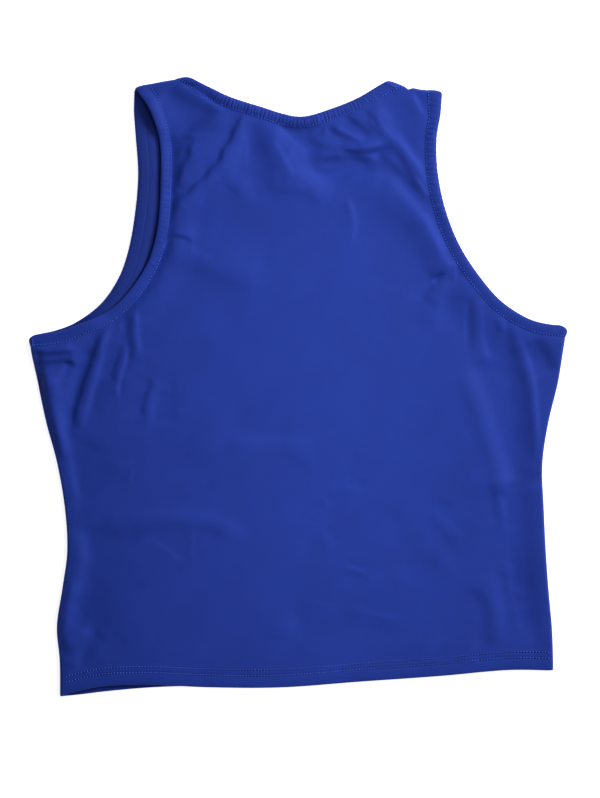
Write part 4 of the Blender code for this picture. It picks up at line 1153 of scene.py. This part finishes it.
# -------------------------------------------------------------------- pieces
back = build("back_cloth", panel(BACK, NET[1], EDGE_NET), panel_cloth, wall=CLOTH, up=1.0, inside=inside_and_shade_cloth)
front = build("front_cloth", panel(FRONT, NET[-1], 1.7), panel_cloth, wall=CLOTH, up=-1.0, inside=inside_and_shade_cloth)

bands = {}
for hand, name, table, seed in ((-1, "armhole_binding_left", ARM_PUCKERS_LEFT, 1.0), (1, "armhole_binding_right", ARM_PUCKERS_RIGHT, 2.3)):
    back_side, back_flat, wrap, drop, front_flat, front_side = ARM[hand]
    parts = back_side, back_flat, wrap, drop, front_flat.reverse(), front_side
    soup, ring, s, share, marks = binding(parts, arm_share, table, seed)
    bands[name] = build(name, soup, band_cloth, inside=inside_and_shade_cloth, marks=marks), ring, s, share
lw, ld, nb, rw, rd, nf = NECKS
parts = ld.reverse(), lw.reverse(), nb, rw, rd, nf.reverse()
soup, ring, s, share, marks = binding(parts, neck_share, NECK_PUCKERS, 0.4)
bands["neck_binding"] = build("neck_binding", soup, band_cloth, inside=inside_and_shade_cloth, marks=marks), ring, s, share

# stitches along the bindings, with a small dark patch of painted shadow where each dips into the cloth
stitches, pit_shadows = Soup(), Soup()


def stitch_row(line, out, pitch, length, radius, high, low, uneven, pit=1.15):
    """A row of stitches along a line; out is the cloth's normal at its points."""
    run = lengths(line)
    chance = np.random.default_rng(len(line))
    # the second pass lays the dark pits, painted shadow at each needle hole
    for shift, soup, size, thick, level, bow in ((0.5, stitches, length, radius, high, 0.2), (1.0, pit_shadows, pitch - length, pit * radius, low, 0.05)):
        q = np.arange(shift * pitch, run[-1], pitch)
        q = q + uneven * pitch * (chance.random(len(q)) - 0.5)
        pick = lambda at: np.column_stack([np.interp(at, run, line[:, k]) for k in range(3)])
        normal = np.column_stack([np.interp(q, run, out[:, k]) for k in range(3)])
        normal /= np.linalg.norm(normal, axis=1)[:, None]
        d = pick(q + 0.4) - pick(q - 0.4)
        d -= (d * normal).sum(1)[:, None] * normal
        d /= np.linalg.norm(d, axis=1)[:, None]
        at = pick(q) + level * normal
        at[:, 2] = np.maximum(at[:, 2], TABLE + thick)
        thread(soup, at, normal, d, size, thick, bow)


for name, (obj, ring, s, share) in bands.items():
    line = ring.points([8.9], [0.0])[:, 0]
    out = ring.points([8.9], [1.0])[:, 0] - line
    out /= np.linalg.norm(out, axis=1)[:, None]
    stitch_row(line, out, 2.5, 1.2, 0.3, 0.36, 0.2, 0.2)

# two rows round the hem
for face in (BACK, FRONT):
    for up in HEM_STITCHES:
        x = np.arange(-198.0, 214.0, 0.65)
        y = hem_y(x, face.side) + up
        at = np.column_stack([x, y, face.height(x, y)])
        ahead = np.gradient(at, axis=0)
        above = np.column_stack([x, y + 0.5, face.height(x, y + 0.5)]) - at
        n = np.cross(ahead, above)
        n /= np.linalg.norm(n, axis=1)[:, None]
        n *= np.sign(n[:, 2:3]) * face.side
        if face.side > 0:
            stitch_row(at, n, 2.6, 1.15, 0.5, 0.16, 0.12, 0.14, 1.2)
        else:
            stitch_row(at, n, 2.6, 1.5, 0.2, 0.0, -0.05, 0.12)
stitching = build("stitches", stitches, thread_painted_highlight, weld=1e-9)
painted_needle_shadows = build("painted_needle_shadows", pit_shadows, pit_shadow_paint, weld=1e-9)

# -------------------------------------------------------------- CAD parts hidden, pieces onto the body
arm_left, arm_right, neck_band = (bands[k][0] for k in ("armhole_binding_left", "armhole_binding_right", "neck_binding"))
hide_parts("back_panel")
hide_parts("front_panel")
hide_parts("neck_band")
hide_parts("armhole_band_left")
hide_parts("armhole_band_right")
for piece in (back, front, neck_band, arm_left, arm_right, stitching, painted_needle_shadows):
    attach(piece, "root")

# ------------------------------------------------------------ floor and light
floor_mesh = bpy.data.meshes.new("floor")
floor_mesh.from_pydata([(-60, -60, -0.0004), (60, -60, -0.0004), (60, 60, -0.0004), (-60, 60, -0.0004)], [], [(0, 1, 2, 3)])
floor = bpy.data.objects.new("floor", floor_mesh)
bpy.context.scene.collection.objects.link(floor)
paper = bpy.data.materials.new("paper")
paper.use_nodes = True
sheet_shader = paper.node_tree.nodes["Principled BSDF"]
sheet_shader.inputs["Base Color"].default_value = (0.93, 0.93, 0.93, 1.0)
sheet_shader.inputs["Roughness"].default_value = 0.9
sheet_shader.inputs["Specular IOR Level"].default_value = 0.1
sheet_shader.inputs["Emission Color"].default_value = (1.0, 1.0, 1.0, 1.0)
sheet_shader.inputs["Emission Strength"].default_value = 0.85
grain = node(paper.node_tree, "ShaderNodeTexNoise", Scale=400.0, Detail=3.0)
paper_coord = node(paper.node_tree, "ShaderNodeTexCoord")
paper.node_tree.links.new(paper_coord.outputs["Object"], grain.inputs["Vector"])
paper_bump = node(paper.node_tree, "ShaderNodeBump", Strength=0.1, Distance=0.0002)
paper.node_tree.links.new(grain.outputs["Fac"], paper_bump.inputs["Height"])
paper.node_tree.links.new(paper_bump.outputs[0], sheet_shader.inputs["Normal"])
floor_mesh.materials.append(paper)


def area_light(name, place, target, size, power, colour=(1, 1, 1)):
    light = bpy.data.lights.new(name, "AREA")
    light.shape = "DISK"
    light.size = size
    light.energy = power
    light.color = colour
    obj = bpy.data.objects.new(name, light)
    obj.location = place
    obj.rotation_euler = (Vector(target) - Vector(place)).to_track_quat("-Z", "Y").to_euler()
    bpy.context.scene.collection.objects.link(obj)
    return obj


area_light("key", (1.942, 1.300, 1.221), (0.05, 0.0, 0.0), 1.05, 79.5)
strip = area_light("strip", (0.03, 0.035, 0.28), (0.03, 0.035, 0.0), 0.08, 0.555)
strip.data.shape = "RECTANGLE"
strip.data.size_y = 0.6
strip.rotation_euler = (0.0, 0.0, 0.0)
strip.visible_camera = False
world = bpy.data.worlds.new("studio")
world.use_nodes = True
world.node_tree.nodes["Background"].inputs["Color"].default_value = (0.97, 0.98, 1.0, 1.0)
world.node_tree.nodes["Background"].inputs["Strength"].default_value = 0.08
bpy.context.scene.world = world
bpy.context.scene.view_settings.view_transform = "Standard"

# -------------------------------------------------------------------- camera
HEIGHT = 1.3
camera = bpy.data.cameras.new("camera")
camera.sensor_fit = "VERTICAL"
camera.sensor_height = 36.0
camera.lens = 36.0 * (HEIGHT - 0.004) / 0.6783
view = bpy.data.objects.new("camera", camera)
view.location = ((300.0 - 298.2) * STEP * MM + 0.00007, (387.25 - 399.0) * STEP * MM - 0.00075, HEIGHT)
view.rotation_euler = (0.0, 0.0, 0.0)
bpy.context.scene.collection.objects.link(view)
bpy.context.scene.camera = view
